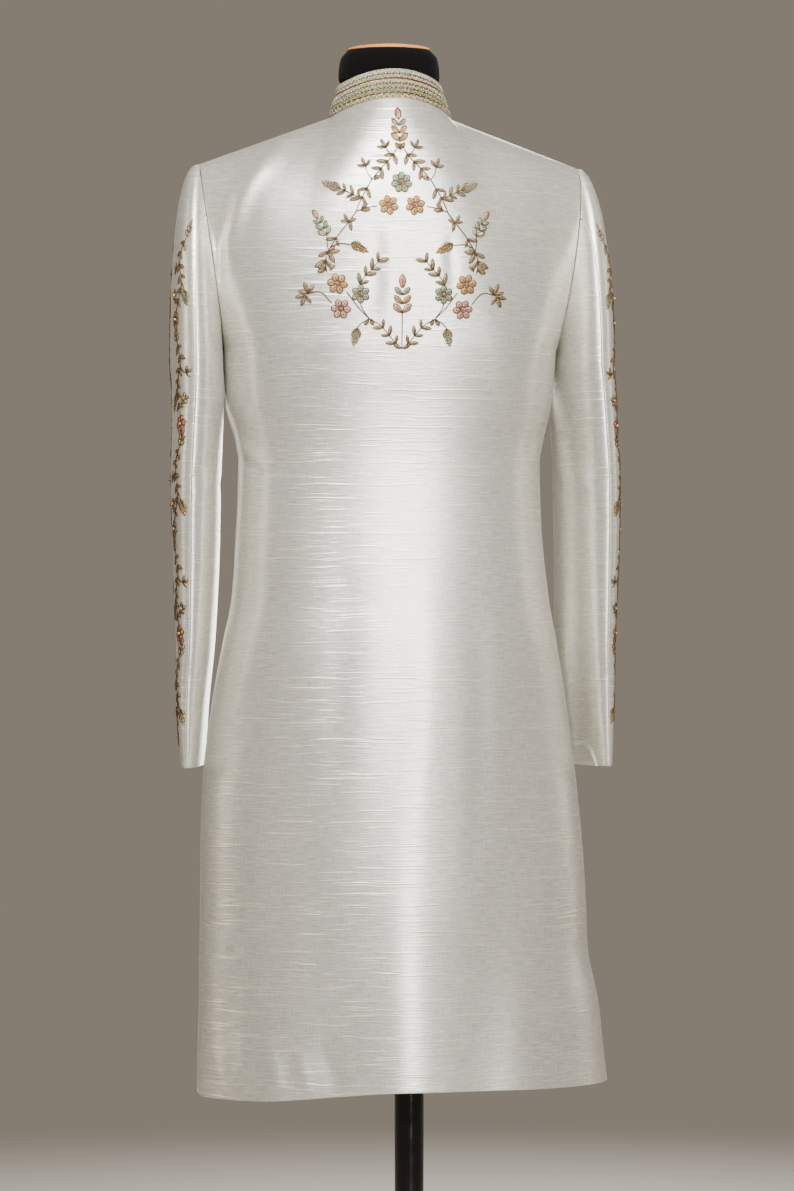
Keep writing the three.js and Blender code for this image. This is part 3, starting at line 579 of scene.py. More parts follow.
def raw_silk():
    """Dupion: a fine reeled warp and a thick doubled weft, crisp and slubbed, with a narrow band of shine."""
    material, tree = new_material("ivory_dupion_silk")
    uv = add(tree, "ShaderNodeUVMap", uv_map="cloth").outputs[0]

    def stretched_noise(along, up, detail):
        """Noise drawn out to the given millimetres along the weft and up the warp."""
        scaled = add(tree, "ShaderNodeMapping", {"Vector": uv, "Scale": (1 / (along * MM), 1 / (up * MM), 1)})
        noise = add(tree, "ShaderNodeTexNoise", {"Vector": scaled.outputs[0], "Scale": 1.0, "Detail": detail})
        return noise.outputs[0]

    def slub_rows(pitch, length, least, most, strength):
        """Stretches of thick weft: rows a pitch apart that wander, each with its own noise along it."""
        scale = (1 / (length * MM), 1 / (pitch * MM), 0)
        even = add(tree, "ShaderNodeMapping", {"Vector": uv, "Scale": scale})
        stray = {0: wander, 1: (0, SLUB_WANDER / pitch, 0), 2: even.outputs[0]}
        place = add(tree, "ShaderNodeVectorMath", stray, operation="MULTIPLY_ADD")
        along = add(tree, "ShaderNodeSeparateXYZ", {0: place.outputs[0]})
        row = add(tree, "ShaderNodeMath", {0: along.outputs["Y"]}, operation="FLOOR")
        start = add(tree, "ShaderNodeCombineXYZ", {"X": along.outputs["X"]})
        shift = {0: row.outputs[0], 1: ROW_SHIFT, 2: start.outputs[0]}
        cell = add(tree, "ShaderNodeVectorMath", shift, operation="MULTIPLY_ADD")
        noise = add(tree, "ShaderNodeTexNoise", {"Vector": cell.outputs[0], "Scale": 1.0, "Detail": 1.0})
        levels = {"Value": noise.outputs[0], "From Min": least, "From Max": most, "To Max": strength}
        level = add(tree, "ShaderNodeMapRange", levels)
        bulge = add(tree, "ShaderNodeMath", {0: along.outputs["Y"], 1: 0.5}, operation="PINGPONG")
        return add(tree, "ShaderNodeMath", {0: level.outputs[0], 1: bulge.outputs[0]}, operation="MULTIPLY")

    wander = stretched_noise(70, 50, 1.0)
    weft = stretched_noise(14, 1.1, 3.0)
    warp = stretched_noise(1.0, 16, 2.0)
    cloud = stretched_noise(120, 260, 2.0)
    fine, coarse = (slub_rows(*row).outputs[0] for row in SLUBS)
    slub = add(tree, "ShaderNodeMath", {0: fine, 1: coarse}, operation="ADD")
    cells = {"Vector": uv, "Scale": 1 / (NEP_SPACING * MM), "Randomness": 1.0}
    away = add(tree, "ShaderNodeTexVoronoi", cells).outputs["Distance"]
    nep = add(tree, "ShaderNodeMapRange", {"Value": away, "From Min": 0.045, "From Max": 0.0})
    lumps = {0: slub.outputs[0], 1: nep.outputs[0]}
    lumps_and_painted_highlight = add(tree, "ShaderNodeMath", lumps, operation="MAXIMUM").outputs[0]
    yarn = add(tree, "ShaderNodeMix", {0: 0.35, 2: weft, 3: warp}).outputs[0]
    even = add(tree, "ShaderNodeMapRange", {"Value": yarn, "From Min": 0.36, "From Max": 0.64})
    # large warm patches: painted sheen, where the silk's shine turns yellowish
    warm_sheen_patches = add(tree, "ShaderNodeMath", {0: cloud, 1: 0.35}, operation="MULTIPLY")
    tinted = colour("#C2BFB6")
    # the slubs and neps go towards a pale yellowish white: partly their own paler yarn, partly a painted
    # highlight where they catch the light
    for share, tint in ((even.outputs[0], "#EFEEE8"), (warm_sheen_patches.outputs[0], "#DDD4BE"), (lumps_and_painted_highlight, "#FBF3D8")):
        mixed = {0: share, 6: tinted, 7: colour(tint)}
        tinted = add(tree, "ShaderNodeMix", mixed, data_type="RGBA").outputs[2]
    height = add(tree, "ShaderNodeMath", {0: lumps_and_painted_highlight, 1: 1.4, 2: yarn}, operation="MULTIPLY_ADD")
    bump = add(tree, "ShaderNodeBump", {"Height": height.outputs[0], "Strength": 0.5, "Distance": 0.0005})
    rough = add(tree, "ShaderNodeMapRange", {"Value": yarn, "To Min": 0.33, "To Max": 0.43})
    tangent = add(tree, "ShaderNodeTangent", direction_type="UV_MAP", uv_map="cloth")
    shader = add(
        tree,
        "ShaderNodeBsdfPrincipled",
        {
            "Base Color": tinted,
            "Metallic": 0.66,
            "Roughness": rough.outputs[0],
            "Anisotropic": 0.45,
            "Anisotropic Rotation": 0.25,
            "Tangent": tangent.outputs[0],
            "Normal": bump.outputs[0],
            "Sheen Weight": 0.08,
            "Sheen Roughness": 0.35,
        },
    )
    return close_material(material, tree, shader)


def knitted_jersey():
    """Black cotton jersey, knitted and stretched over the form: matt, with a dusty bloom at the edges."""
    material, tree = new_material("black_cotton_jersey")
    where = add(tree, "ShaderNodeTexCoord").outputs["Object"]
    # real stitches are about 0.7 mm apart, too fine to show. A wave's lines are 2 pi / 20 / Scale m apart,
    # which makes these 6.3 mm across and 5 mm up.
    wales = {"Vector": where, "Scale": 50.0, "Distortion": 0.6}
    wales = add(tree, "ShaderNodeTexWave", wales, bands_direction="X").outputs[1]
    courses = {"Vector": where, "Scale": 62.5, "Distortion": 0.6}
    courses = add(tree, "ShaderNodeTexWave", courses, bands_direction="Z").outputs[1]
    knit = add(tree, "ShaderNodeMath", {0: wales, 1: courses}, operation="MULTIPLY")
    bump = add(tree, "ShaderNodeBump", {"Height": knit.outputs[0], "Strength": 0.5, "Distance": 0.0004})
    wear = add(tree, "ShaderNodeTexNoise", {"Vector": where, "Scale": 14.0, "Detail": 4.0})
    shades = {0: wear.outputs[0], 6: colour("#030202"), 7: colour("#090604")}
    look = {
        "Base Color": add(tree, "ShaderNodeMix", shades, data_type="RGBA").outputs[2],
        "Roughness": 0.9,
        "Normal": bump.outputs[0],
        "Sheen Weight": 0.02,
        "Sheen Roughness": 0.5,
        "Specular IOR Level": 0.1,
    }
    return close_material(material, tree, add(tree, "ShaderNodeBsdfPrincipled", look))


def varnished_wood():
    """Turned beech, stained orange-brown and varnished: fine grain along X under a thin satin coat."""
    material, tree = new_material("varnished_stained_beech")
    where = add(tree, "ShaderNodeTexCoord").outputs["Object"]
    # a streak is about 4 mm wide and 55 mm long, coarser than real beech grain, so that it shows
    along = add(tree, "ShaderNodeMapping", {"Vector": where, "Scale": (18, 260, 260)})
    fibres = {"Vector": along.outputs[0], "Scale": 1.0, "Detail": 5.0, "Distortion": 0.8}
    grain = add(tree, "ShaderNodeTexNoise", fibres)
    bump = add(tree, "ShaderNodeBump", {"Height": grain.outputs[0], "Strength": 0.12, "Distance": 0.0003})
    shades = {0: grain.outputs[0], 6: colour("#B0581A"), 7: colour("#FFAE5A")}
    rough = add(tree, "ShaderNodeMapRange", {"Value": grain.outputs[0], "To Min": 0.32, "To Max": 0.5})
    look = {
        "Base Color": add(tree, "ShaderNodeMix", shades, data_type="RGBA").outputs[2],
        "Roughness": rough.outputs[0],
        "Normal": bump.outputs[0],
        "Coat Weight": 0.06,
        "Coat Roughness": 0.2,
        "Specular IOR Level": 0.2,
    }
    return close_material(material, tree, add(tree, "ShaderNodeBsdfPrincipled", look))


def enamelled_steel():
    """Steel tube and plate, powder coated and glossy black with a brown cast, a little dusty and scuffed."""
    material, tree = new_material("black_enamelled_steel")
    where = add(tree, "ShaderNodeTexCoord").outputs["Object"]
    # powder coat ripples every 3 mm or so, and dust lies in patches of 25 mm
    peel = add(tree, "ShaderNodeTexNoise", {"Vector": where, "Scale": 320.0, "Detail": 2.0})
    bump = add(tree, "ShaderNodeBump", {"Height": peel.outputs[0], "Strength": 0.08, "Distance": 0.0003})
    dust = add(tree, "ShaderNodeTexNoise", {"Vector": where, "Scale": 40.0, "Detail": 6.0}).outputs[0]
    shades = {0: dust, 6: colour("#060303"), 7: colour("#120A0A")}
    dulled = {"Value": dust, "From Min": 0.35, "From Max": 0.75, "To Min": 0.1, "To Max": 0.22}
    look = {
        "Base Color": add(tree, "ShaderNodeMix", shades, data_type="RGBA").outputs[2],
        "Roughness": add(tree, "ShaderNodeMapRange", dulled).outputs[0],
        "Normal": bump.outputs[0],
        "Coat Weight": 0.3,
        "Coat Roughness": 0.06,
        "Specular IOR Level": 0.35,
    }
    return close_material(material, tree, add(tree, "ShaderNodeBsdfPrincipled", look))


def metal_thread():
    """Zari, a silk or cotton core wound with fine metal: satin rows 1 mm apart, with glints painted into its
    colour.
    """
    material, tree = new_material("zari_embroidery_thread")
    tint = add(tree, "ShaderNodeAttribute", attribute_name="thread")
    uv = add(tree, "ShaderNodeUVMap", uv_map="cloth").outputs[0]
    # real threads are 0.3 to 0.5 mm apart; 2 pi / 20 / 0.16 / 2000 metres is 1 mm, so that they show
    rows = add(tree, "ShaderNodeMapping", {"Vector": uv, "Rotation": (0, 0, 0.7), "Scale": (2000, 2000, 1)})
    wave = add(tree, "ShaderNodeTexWave", {"Vector": rows.outputs[0], "Scale": 0.16, "Distortion": 1.5})
    bump = add(tree, "ShaderNodeBump", {"Height": wave.outputs[0], "Strength": 0.5, "Distance": 0.0003})
    # painted glints: the thread's colour made brighter and darker in 1 mm specks, in place of the sparkle of
    # its metal
    noise = add(tree, "ShaderNodeTexNoise", {"Vector": uv, "Scale": 900.0}).outputs[0]
    spread = {"Value": noise, "From Min": 0.3, "From Max": 0.7, "To Min": 0.2, "To Max": 1.42}
    painted_glint = add(tree, "ShaderNodeMapRange", spread)
    tinted = {0: tint.outputs["Color"], 1: painted_glint.outputs[0]}
    look = {
        "Base Color": add(tree, "ShaderNodeVectorMath", tinted, operation="MULTIPLY").outputs[0],
        "Roughness": 0.36,
        "Metallic": 0.6,
        "Normal": bump.outputs[0],
    }
    return close_material(material, tree, add(tree, "ShaderNodeBsdfPrincipled", look))


# ---- The coat ----
def body_middle(points):
    """Points inside the body, level with these or lower."""
    return stack(points[..., 0] * 0.55, points[..., 1] * 0.1, np.minimum(points[..., 2], 1330))


def make_body_panels(silk, thread):
    """The back and the two fronts."""
    u_lines, v_lines = edge_lines(140, PANEL_WIDTH), edge_lines(220, PANEL_HEIGHT)
    back = cloth_wall("coat_back", back_face, u_lines, v_lines, CLOTH, body_middle)
    finish_piece(back, silk, ["back"])
    wreath_piece = make_back_embroidery(thread)
    lap_u = 0.5 + LAP / PANEL_WIDTH

    def front_left(u, v):
        """From the left side seam to a lap's width past the middle."""
        return body(u * lap_u, v, -1, FRONT_CREASES)

    def front_right(u, v):
        """The same from the right side seam; it goes in under the left front near the middle."""
        points = body(1 - u * lap_u, v, -1, FRONT_CREASES)
        from_middle = points[..., 0] - body(np.full_like(u, 0.5), v, -1)[..., 0]
        points[..., 1] += (CLOTH + LAP_CLEAR) * ease((from_middle + LAP + LAP_MARGIN + LAP_EASE) / LAP_EASE)
        return points

    u_lines = edge_lines(60, FRONT_WIDTH)
    for label, surface in (("left", front_left), ("right", front_right)):
        piece = cloth_wall(f"coat_front_{label}", surface, u_lines, v_lines, CLOTH, body_middle)
        finish_piece(piece, silk, [f"front_{label}"])


def make_sleeves(silk, thread):
    """Each sleeve in two pieces, a top one outside and an under one inside."""
    for label, side in (("left", 1), ("right", -1)):

        def middle(points, side=side):
            """Places inside the arm or, at the sleeve head, inside the shoulder."""
            z = np.minimum(points[..., 2], SHOULDER_TIP[2])
            return stack(side * np.minimum(214, 160 + SHOULDER_TIP[2] - z), 0 * z, np.minimum(z, 1340))

        for half, start, end in (("top", 0, FRONT_SEAM), ("under", FRONT_SEAM, 360)):

            def surface(u, v, start=start, end=end, side=side):
                """The piece's outer face, from its front seam or back seam round to the other."""
                z = mix(BICEPS_Z, CUFF_Z, np.clip((1 - v - CAP_SHARE) / (1 - CAP_SHARE), 0, 1))
                gap = np.degrees(SEAM_SEEN / 2 / read(SLEEVE, SLEEVE_COLUMNS, "half", z))
                degrees = mix(start + gap, end - gap, u)
                points = sleeve(side, np.where(degrees > 270, degrees - 360, degrees), 1 - v)
                # pushed straight away from the sleeve's middle line, and not at the seams
                fade = ease(np.minimum(u, 1 - u) / SLEEVE_FADE) * ease((1 - v) / SLEEVE_FADE)
                lift = fade * crease_lift(degrees, points[..., 2], SLEEVE_CREASES)
                s, c = np.sin(np.radians(degrees)), np.cos(np.radians(degrees))
                return points + stack(side * lift * s, lift * c * 0.3, 0 * lift)

            lines = edge_lines(60, SLEEVE_WIDTH), edge_lines(150, SLEEVE_LENGTH)
            piece = cloth_wall(f"sleeve_{half}_{label}_cloth", surface, *lines, SLEEVE_CLOTH, middle)
            finish_piece(piece, silk, [f"sleeve_{half}_{label}"])
            if half == "top":
                sprays = embroider_sleeve(label, surface, middle, thread)


def embroider_sleeve(label, surface, middle, thread):
    """The sprigs on one top sleeve."""

    def even_face(w, v):
        """The piece's face with its lines evened out: by angle they are far apart on its flat outside."""
        from_outside = (w * FRONT_SEAM - 90) / 90
        bent = np.where(np.abs(from_outside) < 1, np.sign(from_outside) * from_outside**2, from_outside)
        return surface((90 + 90 * bent) / FRONT_SEAM, v)

    grid = face_map(even_face, middle, 200, 260, across=True)
    heights, widths = grid[:, -1, 7], grid[:, -1, 6]
    order = np.argsort(heights)

    def width_at(z):
        """The piece's width along the cloth at a height."""
        return np.interp(z, heights[order], widths[order])

    return embroider(f"sleeve_{label}_sprays", grid, *sleeve_sprays(width_at), thread)


COLLAR_TRIM = np.degrees(np.arcsin(COLLAR_END_GAP / NECK_SIDE[0]))


def collar_face(u, v):
    """The collar from its right end round the nape to its left end, as u goes from 0 to 1."""
    return collar(mix(COLLAR_TRIM, 360 - COLLAR_TRIM, u), v)


def collar_middle(points):
    """Places on the neck's axis, level with these points."""
    return stack(0 * points[..., 0], 0 * points[..., 0] - 5, points[..., 2])


def make_collar(thread):
    """The stand collar's band, covered outside in metal braid and plain silk inside."""
    lines = edge_lines(180, 390), edge_lines(24, 38)
    band = cloth_wall("collar_band", collar_face, *lines, COLLAR_THICK, collar_middle)
    half = len(band.data.vertices) // 2
    tint_points(band, np.repeat([colour("#5E4E30")[:3], colour("#E4DFD2")[:3]], half, axis=0))
    finish_piece(band, thread, ["collar"])
    braid = make_braid(thread)


# ---- Laying ornament on the cloth ----
def face_map(surface, middle, columns, rows, across=False):
    """A cloth face as a grid: its points, its normals, and flat places (a, b) on it.

    b is the height. a is x or, where across is true, the length across from the edge u = 0.
    """
    u, v = np.meshgrid(np.linspace(0.001, 0.999, columns), np.linspace(0.001, 0.999, rows))
    points = surface(u, v)
    normals = outward(surface, u, v, middle(points))
    a = points[..., 0]
    if across:
        steps = np.linalg.norm(np.diff(points, axis=1), axis=-1)
        a = np.concatenate([np.zeros((rows, 1)), np.cumsum(steps, axis=1)], axis=1)
    return np.concatenate([points, normals, a[..., None], points[..., 2:]], axis=-1)


def look_up(grid, u, v):
    """The grid's values at u and v from 0 to 1, mixed from the four nearest points."""
    rows, columns = grid.shape[:2]
    x, y = np.clip(u, 0, 1) * (columns - 1), np.clip(v, 0, 1) * (rows - 1)
    i, j = np.minimum(x.astype(int), columns - 2), np.minimum(y.astype(int), rows - 2)
    s, t = (x - i)[..., None], (y - j)[..., None]
    low = mix(grid[j, i], grid[j, i + 1], s)
    return mix(low, mix(grid[j + 1, i], grid[j + 1, i + 1], s), t)


NEWTON_ROUNDS = 14


def lay(grid, flat):
    """Places (a, b, height) on a face: Newton's method finds the grid place, and the normal the height."""
    u = np.full(flat.shape[:-1], 0.5)
    v = np.full(flat.shape[:-1], 0.6)
    step = 2e-3
    for _ in range(NEWTON_ROUNDS):
        here = look_up(grid, u, v)[..., 6:]
        by_u = (look_up(grid, u + step, v)[..., 6:] - look_up(grid, u - step, v)[..., 6:]) / (2 * step)
        by_v = (look_up(grid, u, v + step)[..., 6:] - look_up(grid, u, v - step)[..., 6:]) / (2 * step)
        miss = flat[..., :2] - here
        area = by_u[..., 0] * by_v[..., 1] - by_u[..., 1] * by_v[..., 0]
        du = (miss[..., 0] * by_v[..., 1] - miss[..., 1] * by_v[..., 0]) / area
        dv = (by_u[..., 0] * miss[..., 1] - by_u[..., 1] * miss[..., 0]) / area
        u, v = (np.clip(at + np.clip(move, -0.1, 0.1), 0.01, 0.99) for at, move in ((u, du), (v, dv)))
    found = look_up(grid, u, v)
    return found[..., :3] + flat[..., 2:] * found[..., 3:6]


# ---- Embroidery and braid ----
THREADS = {
    "cord": "#5F4A30",
    "leaf": "#9C8862",
    "pink": "#C9937F",
    "peach": "#C5945F",
    "sage": "#93A07D",
    "cream": "#C9BE96",
    "silver_braid": "#DDDCC8",
    "sage_braid": "#A9AC88",
    "olive_braid": "#918655",
    "gold_braid": "#B4A26F",
    "peach_braid": "#CFAA84",
    "rose_braid": "#BFA085",
}
TINTS = list(THREADS)
THREAD_COLOURS = np.array([colour(code)[:3] for code in THREADS.values()])
PAD_RELIEF = 0.9
CORD_SHARE, CORD_RADIUS, CORD_LIFT = 0.15, (0.28, 0.72), 0.3  # of a pad's width; least and most; height
STEM_RADIUS, STEM_LIFT = 0.8, 0.25
RIB_RADIUS, RIB_LIFT, RIB_SPAN = 0.38, PAD_RELIEF * 0.95, (0.12, 0.66)  # span as shares of a pad's length
# points round a pad, along its cord and along its rib, and sides of these tubes and of a stem
PAD_AROUND, CORD_STEPS, RIB_STEPS, CORD_SIDES, STEM_SIDES = 12, 12, 4, 3, 4


def leaf(x, z, angle, length=10.5, width=4.4, blunt=0.9, bend=0.0, tint="leaf"):
    """One padded satin shape: its foot at x, z, its tip angle degrees from straight up, towards +x.

    blunt is the power of its outline, low for round ends, and bend bows it to one side. A list of such
    rows, each with the number of its tint, is what the other shapes are made of.
    """
    return [(x, z, angle, length, width, blunt, bend, TINTS.index(tint))]


def reach(x, z, angle, distance):
    """The place a distance away from x, z along an angle."""
    return x + distance * np.sin(np.radians(angle)), z + distance * np.cos(np.radians(angle))


def flower(x, z, tint, petals=6, radius=10.5, turn=0.0):
    """Round petals in a ring, each with its foot a little way from the middle."""
    pads = []
    for k in range(petals):
        angle = turn + 360 * k / petals
        pads += leaf(*reach(x, z, angle, radius * 0.2), angle, radius * 0.8, radius * 0.66, 0.55, 0.0, tint)
    return pads


def spike(x, z, angle, tints, length=40.0):
    """A bud spike: pairs of petals up a stalk, each with its own tint, and one petal at the tip."""
    pads = []
    step = length / (len(tints) + 0.6)
    for k, tint in enumerate(tints[:-1]):
        foot = reach(x, z, angle, step * k)
        size = step * (1.45 - 0.12 * k)
        for side in (-1, 1):
            pads += leaf(*foot, angle + side * 44, size, size * 0.5, 0.7, side * 0.1, tint)
    tip = reach(x, z, angle, step * (len(tints) - 1.25))
    return pads + leaf(*tip, angle, step * 1.6, step * 0.8, 0.6, 0, tints[-1])


def cone(x, z, angle, tint, length=17.0, rows=5):
    """A bud of small scales in rows, wide at its foot, with two leaves that hold it."""
    pads = []
    for k in range(rows):
        share = k / (rows - 1)
        half = 3.6 * np.sqrt(1 - share) * (0.75 + 0.5 * share)
        for side in (-1, 0, 1) if k < rows - 1 else (0,):
            foot = reach(*reach(x, z, angle, length * 0.78 * share), angle + 90, side * half * 0.8)
            pads += leaf(*foot, angle + side * 12, 4.2, 2.9, 0.55, 0, tint)
    for side in (-1, 1):
        pads += leaf(*reach(x, z, angle, -4), angle + side * 24, 11, 3.8, 0.85, side * 0.2)
    return pads


def trefoil(x, z, angle, size):
    """Three leaves from one foot."""
    return [
        pad
        for turn, share in ((-56, 1.0), (0, 1.15), (56, 1.0))
        for pad in leaf(x, z, angle + turn, size * share, size * share * 0.36, 0.85)
    ]


def vine(points, pairs, start, end, length, spread=46):
    """A stem and its leaves, in pairs at even places along it that lean forwards."""
    path = smooth_path(points)
    pads = []
    for k in range(pairs):
        i = int(mix(start, end, k / max(pairs - 1, 1)) * (len(path) - 2))
        along = path[i + 1] - path[i]
        angle = np.degrees(np.arctan2(along[0], along[1]))
        for side in (-1, 1):
            size = length * (1.3 if (k + (side > 0)) % 2 else 1.1)
            pads += leaf(*path[i], angle + side * spread, size, size * 0.36, 0.85, -side * 0.12)
    return pads, path


def mirrored(pads):
    """The same shapes on the other side of x = 0."""
    flip = np.array([-1, 1, -1, 1, 1, 1, -1, 1])
    return [tuple(flip * pad) for pad in pads]


def pad_outline(pads, around):
    """Each pad's edge as flat points: the width is a power of a sine of the way along, and bends."""
    x, z, angle, length, width, blunt, bend, _ = np.array(pads, float).T[:, :, None]
    t = np.arange(around) * 2 * np.pi / around
    s = (1 - np.cos(t)) / 2
    half = np.sign(np.sin(t)) * np.maximum(np.sin(np.pi * s**1.15), 0) ** blunt * width / 2
    half = np.where(s > 0.999, 0, half)
    return s * length, half, (s - s * s) * bend * length, (x, z, np.radians(angle))


def pad_points(along, half, bow, place):
    """Turns lengths along and across a pad into flat x and z."""
    x, z, angle = place
    side = half + bow
    return x + along * np.sin(angle) + side * np.cos(angle), z + along * np.cos(angle) - side * np.sin(angle)


def rings_to_triangles(shape_count, rings, around, closed_rings):
    """Triangles over rings of points, for many like shapes at once; poles or a closed tube end them."""
    r, k = np.meshgrid(np.arange(rings if closed_rings else rings - 1), np.arange(around), indexing="ij")
    here, after = r * around, ((r + 1) % rings) * around
    nxt = (k + 1) % around
    one = np.concatenate([
        np.stack([here + k, here + nxt, after + nxt], axis=-1).reshape(-1, 3),
        np.stack([here + k, after + nxt, after + k], axis=-1).reshape(-1, 3),
    ])
    size = rings * around
    if not closed_rings:
        turn, following = np.arange(around), (np.arange(around) + 1) % around
        bottom = np.stack([following, turn, np.full(around, size)], axis=-1)
        top = (rings - 1) * around
        top = np.stack([top + turn, top + following, np.full(around, size + 1)], axis=-1)
        one = np.concatenate([one, bottom, top])
        size += 2
    return (one[None] + (np.arange(shape_count) * size)[:, None, None]).reshape(-1, 3)


# a pad's rings, from underneath to the top: share of its outline, share of its relief
PAD_PROFILE = np.array([(1.0, -0.3), (1.0, 0.15), (0.8, 0.62), (0.42, 0.9)])
PAD_PAINTED_SHADE = [0.5, 0.62, 1.0, 1.12]  # painted shade and highlight: darker low on the dome's sides and lighter on its top, as light falls on a dome
# the pole underneath has the lowest ring's painted shade; the top pole is a little darker, for the pad's dark
# middle
POLE_SHADE = [0.5, 0.8]


def satin_pads(pads):
    """Low domes over the pads' outlines, closed underneath, with their tints and painted shade and highlight.
    """
    along, half, bow, place = pad_outline(pads, PAD_AROUND)
    length = np.array(pads, float)[:, 3, None]
    share, rise = PAD_PROFILE[:, 0, None, None], PAD_PROFILE[:, 1, None, None]
    middle = length / 2
    ring_along = middle + share * (along - middle)
    x, z = pad_points(ring_along, share * half, bow * np.ones_like(share), place)
    rings = stack(x, z, rise * PAD_RELIEF).transpose(1, 0, 2, 3).reshape(len(pads), -1, 3)
    bow_middle = np.array(pads, float)[:, 6, None] * length / 4
    px, pz = pad_points(middle, 0 * middle, bow_middle, place)
    poles = stack(px, pz, PAD_RELIEF * np.array([PAD_PROFILE[0, 1], 1.0]))
    points = np.concatenate([rings, poles], axis=1).reshape(-1, 3)
    triangles = rings_to_triangles(len(pads), len(PAD_PROFILE), PAD_AROUND, False)
    tints = THREAD_COLOURS[np.array(pads)[:, 7].astype(int)]
    # the tints darkened on the dome's sides and lightened on its top: painted shade and highlight
    painted_shade = np.concatenate([np.repeat(PAD_PAINTED_SHADE, PAD_AROUND), POLE_SHADE])
    colours = (tints[:, None, :] * painted_shade[None, :, None]).reshape(-1, 3)
    return points, triangles, colours


def sideways(ahead):
    """The level directions across the steps of a line: (dz, -dx), made one long."""
    across = stack(ahead[..., 1], -ahead[..., 0], 0.0)
    return across / np.maximum(np.linalg.norm(across, axis=-1, keepdims=True), 1e-9)


def cord_loops(pads):
    """A metal cord couched down round every pad."""
    centre = stack(*pad_points(*pad_outline(pads, CORD_STEPS)), CORD_LIFT)
    ahead = np.roll(centre, -1, axis=1) - np.roll(centre, 1, axis=1)
    radius = np.clip(np.array(pads, float)[:, 4] * CORD_SHARE, *CORD_RADIUS)
    return tube_points(centre, sideways(ahead), CORD_SIDES, True, radius[:, None, None, None])


def ribs(pads):
    """A fine cord along the middle of every pad, on top of its dome."""
    x, z, angle, length, _, _, bend, _ = np.array(pads, float).T[:, :, None]
    t = np.linspace(*RIB_SPAN, RIB_STEPS)
    x, z = pad_points(t * length, 0 * length * t, (t - t * t) * bend * length, (x, z, np.radians(angle)))
    centre = stack(x, z, RIB_LIFT)
    return tube_points(centre, sideways(np.gradient(centre, axis=1)), CORD_SIDES, False, RIB_RADIUS)


def tube_points(centre, out, sides, closed, radius):
    """Tubes round centre lines, (shapes, steps, 3); open ones end in a point."""
    turn = (np.arange(sides) + 0.5) * 2 * np.pi / sides
    up = np.array([0, 0, 1.0])
    ring = out[:, :, None] * np.cos(turn)[:, None] + up * np.sin(turn)[:, None]
    points = (centre[:, :, None] + radius * ring).reshape(len(centre), -1, 3)
    triangles = rings_to_triangles(len(centre), centre.shape[1], sides, closed)
    if not closed:
        points = np.concatenate([points, centre[:, :1], centre[:, -1:]], axis=1)
    points = points.reshape(-1, 3)
    colours = np.broadcast_to(THREAD_COLOURS[0], points.shape)
    return points, triangles, colours


def stem(path):
    """A thin stalk along a flat path."""
    centre = stack(path[:, 0], path[:, 1], STEM_LIFT)[None]
    return tube_points(centre, sideways(np.gradient(centre, axis=1)), STEM_SIDES, False, STEM_RADIUS)


def beads(places, radius, around, tint):
    """Small domes at x, z places."""
    x, z = np.array(places, float).T[:, :, None, None]
    turn = np.arange(around) * 2 * np.pi / around
    share = np.array([(1.0, 0.0), (0.95, 0.7), (0.6, 1.35)])
    px = x + radius * share[None, :, 0, None] * np.cos(turn)
    pz = z + radius * share[None, :, 0, None] * np.sin(turn)
    rings = stack(px, pz, radius * share[None, :, 1, None]).reshape(len(places), -1, 3)
    poles = stack(x[..., 0], z[..., 0], radius * np.array([0, 1.6]))
    points = np.concatenate([rings, poles], axis=1).reshape(-1, 3)
    triangles = rings_to_triangles(len(places), 3, around, False)
    return points, triangles, np.broadcast_to(THREAD_COLOURS[TINTS.index(tint)], points.shape)


def tint_points(piece, colours):
    """Stores each point's thread colour."""
    layer = piece.data.color_attributes.new("thread", "FLOAT_COLOR", "POINT")
    layer.data.foreach_set("color", np.concatenate([colours, np.ones((len(colours), 1))], axis=1).ravel())


def joined(parts):
    """Joins (points, triangles, colours) parts in one."""
    starts = np.cumsum([0] + [len(points) for points, _, _ in parts[:-1]])
    return (
        np.concatenate([points for points, _, _ in parts]),
        np.concatenate([faces + start for (_, faces, _), start in zip(parts, starts)]),
        np.concatenate([colours for _, _, colours in parts]),
    )


def finish_ornament(name, points, triangles, colours, flat, thread, replaced=()):
    """The mesh of joined ornament, with its faces outwards, its flat places as UV and its tints."""
    piece = make_mesh(name, points, facing_out(points, triangles), flat[:, :2] * MM)
    tint_points(piece, colours)
    return finish_piece(piece, thread, replaced)


def embroider(name, grid, pads, stems, dots, thread, replaced=()):
    """One joined mesh of pads, their cords, the stems and the beads, laid on a face."""
    parts = [satin_pads(pads), cord_loops(pads), ribs(pads), *(stem(path) for path in stems)]
    if dots:
        parts.append(beads(dots, 2.0, 8, "peach"))
    flat, triangles, colours = joined(parts)
    return finish_ornament(name, lay(grid, flat), triangles, colours, flat, thread, replaced)


# The braid's rows, from the collar's foot up: place as a share of its height, and each strand's tint
PLAITS = [
    (0.085, ("rose_braid", "silver_braid", "olive_braid")),
    (0.25, ("olive_braid", "gold_braid", "sage_braid")),
    (0.415, ("silver_braid", "sage_braid", "olive_braid")),
    (0.58, ("peach_braid", "silver_braid", "peach_braid")),
    (0.745, ("gold_braid", "silver_braid", "rose_braid")),
    (0.91, ("silver_braid", "sage_braid", "silver_braid")),
]
BEAD_ROWS = [(0.168, 6.0), (0.333, 3.6), (0.5, 3.2), (0.83, 3.0)]  # place as a share, spacing
PLAIT = {"pitch": 5.6, "swing": 1.7, "rise": 0.5, "radius": 0.62, "step": 0.8, "lift": 0.6}
EDGE_CORDS = [(0.012, ("rose_braid", "gold_braid")), (0.985, ("peach_braid", "silver_braid"))]
EDGE_CORD = {"pitch": 3.2, "swing": 0.38, "radius": 0.42, "step": 0.8, "lift": 0.35}
COLLAR_HEIGHT = 34.0
COLLAR_RUN = 392.0


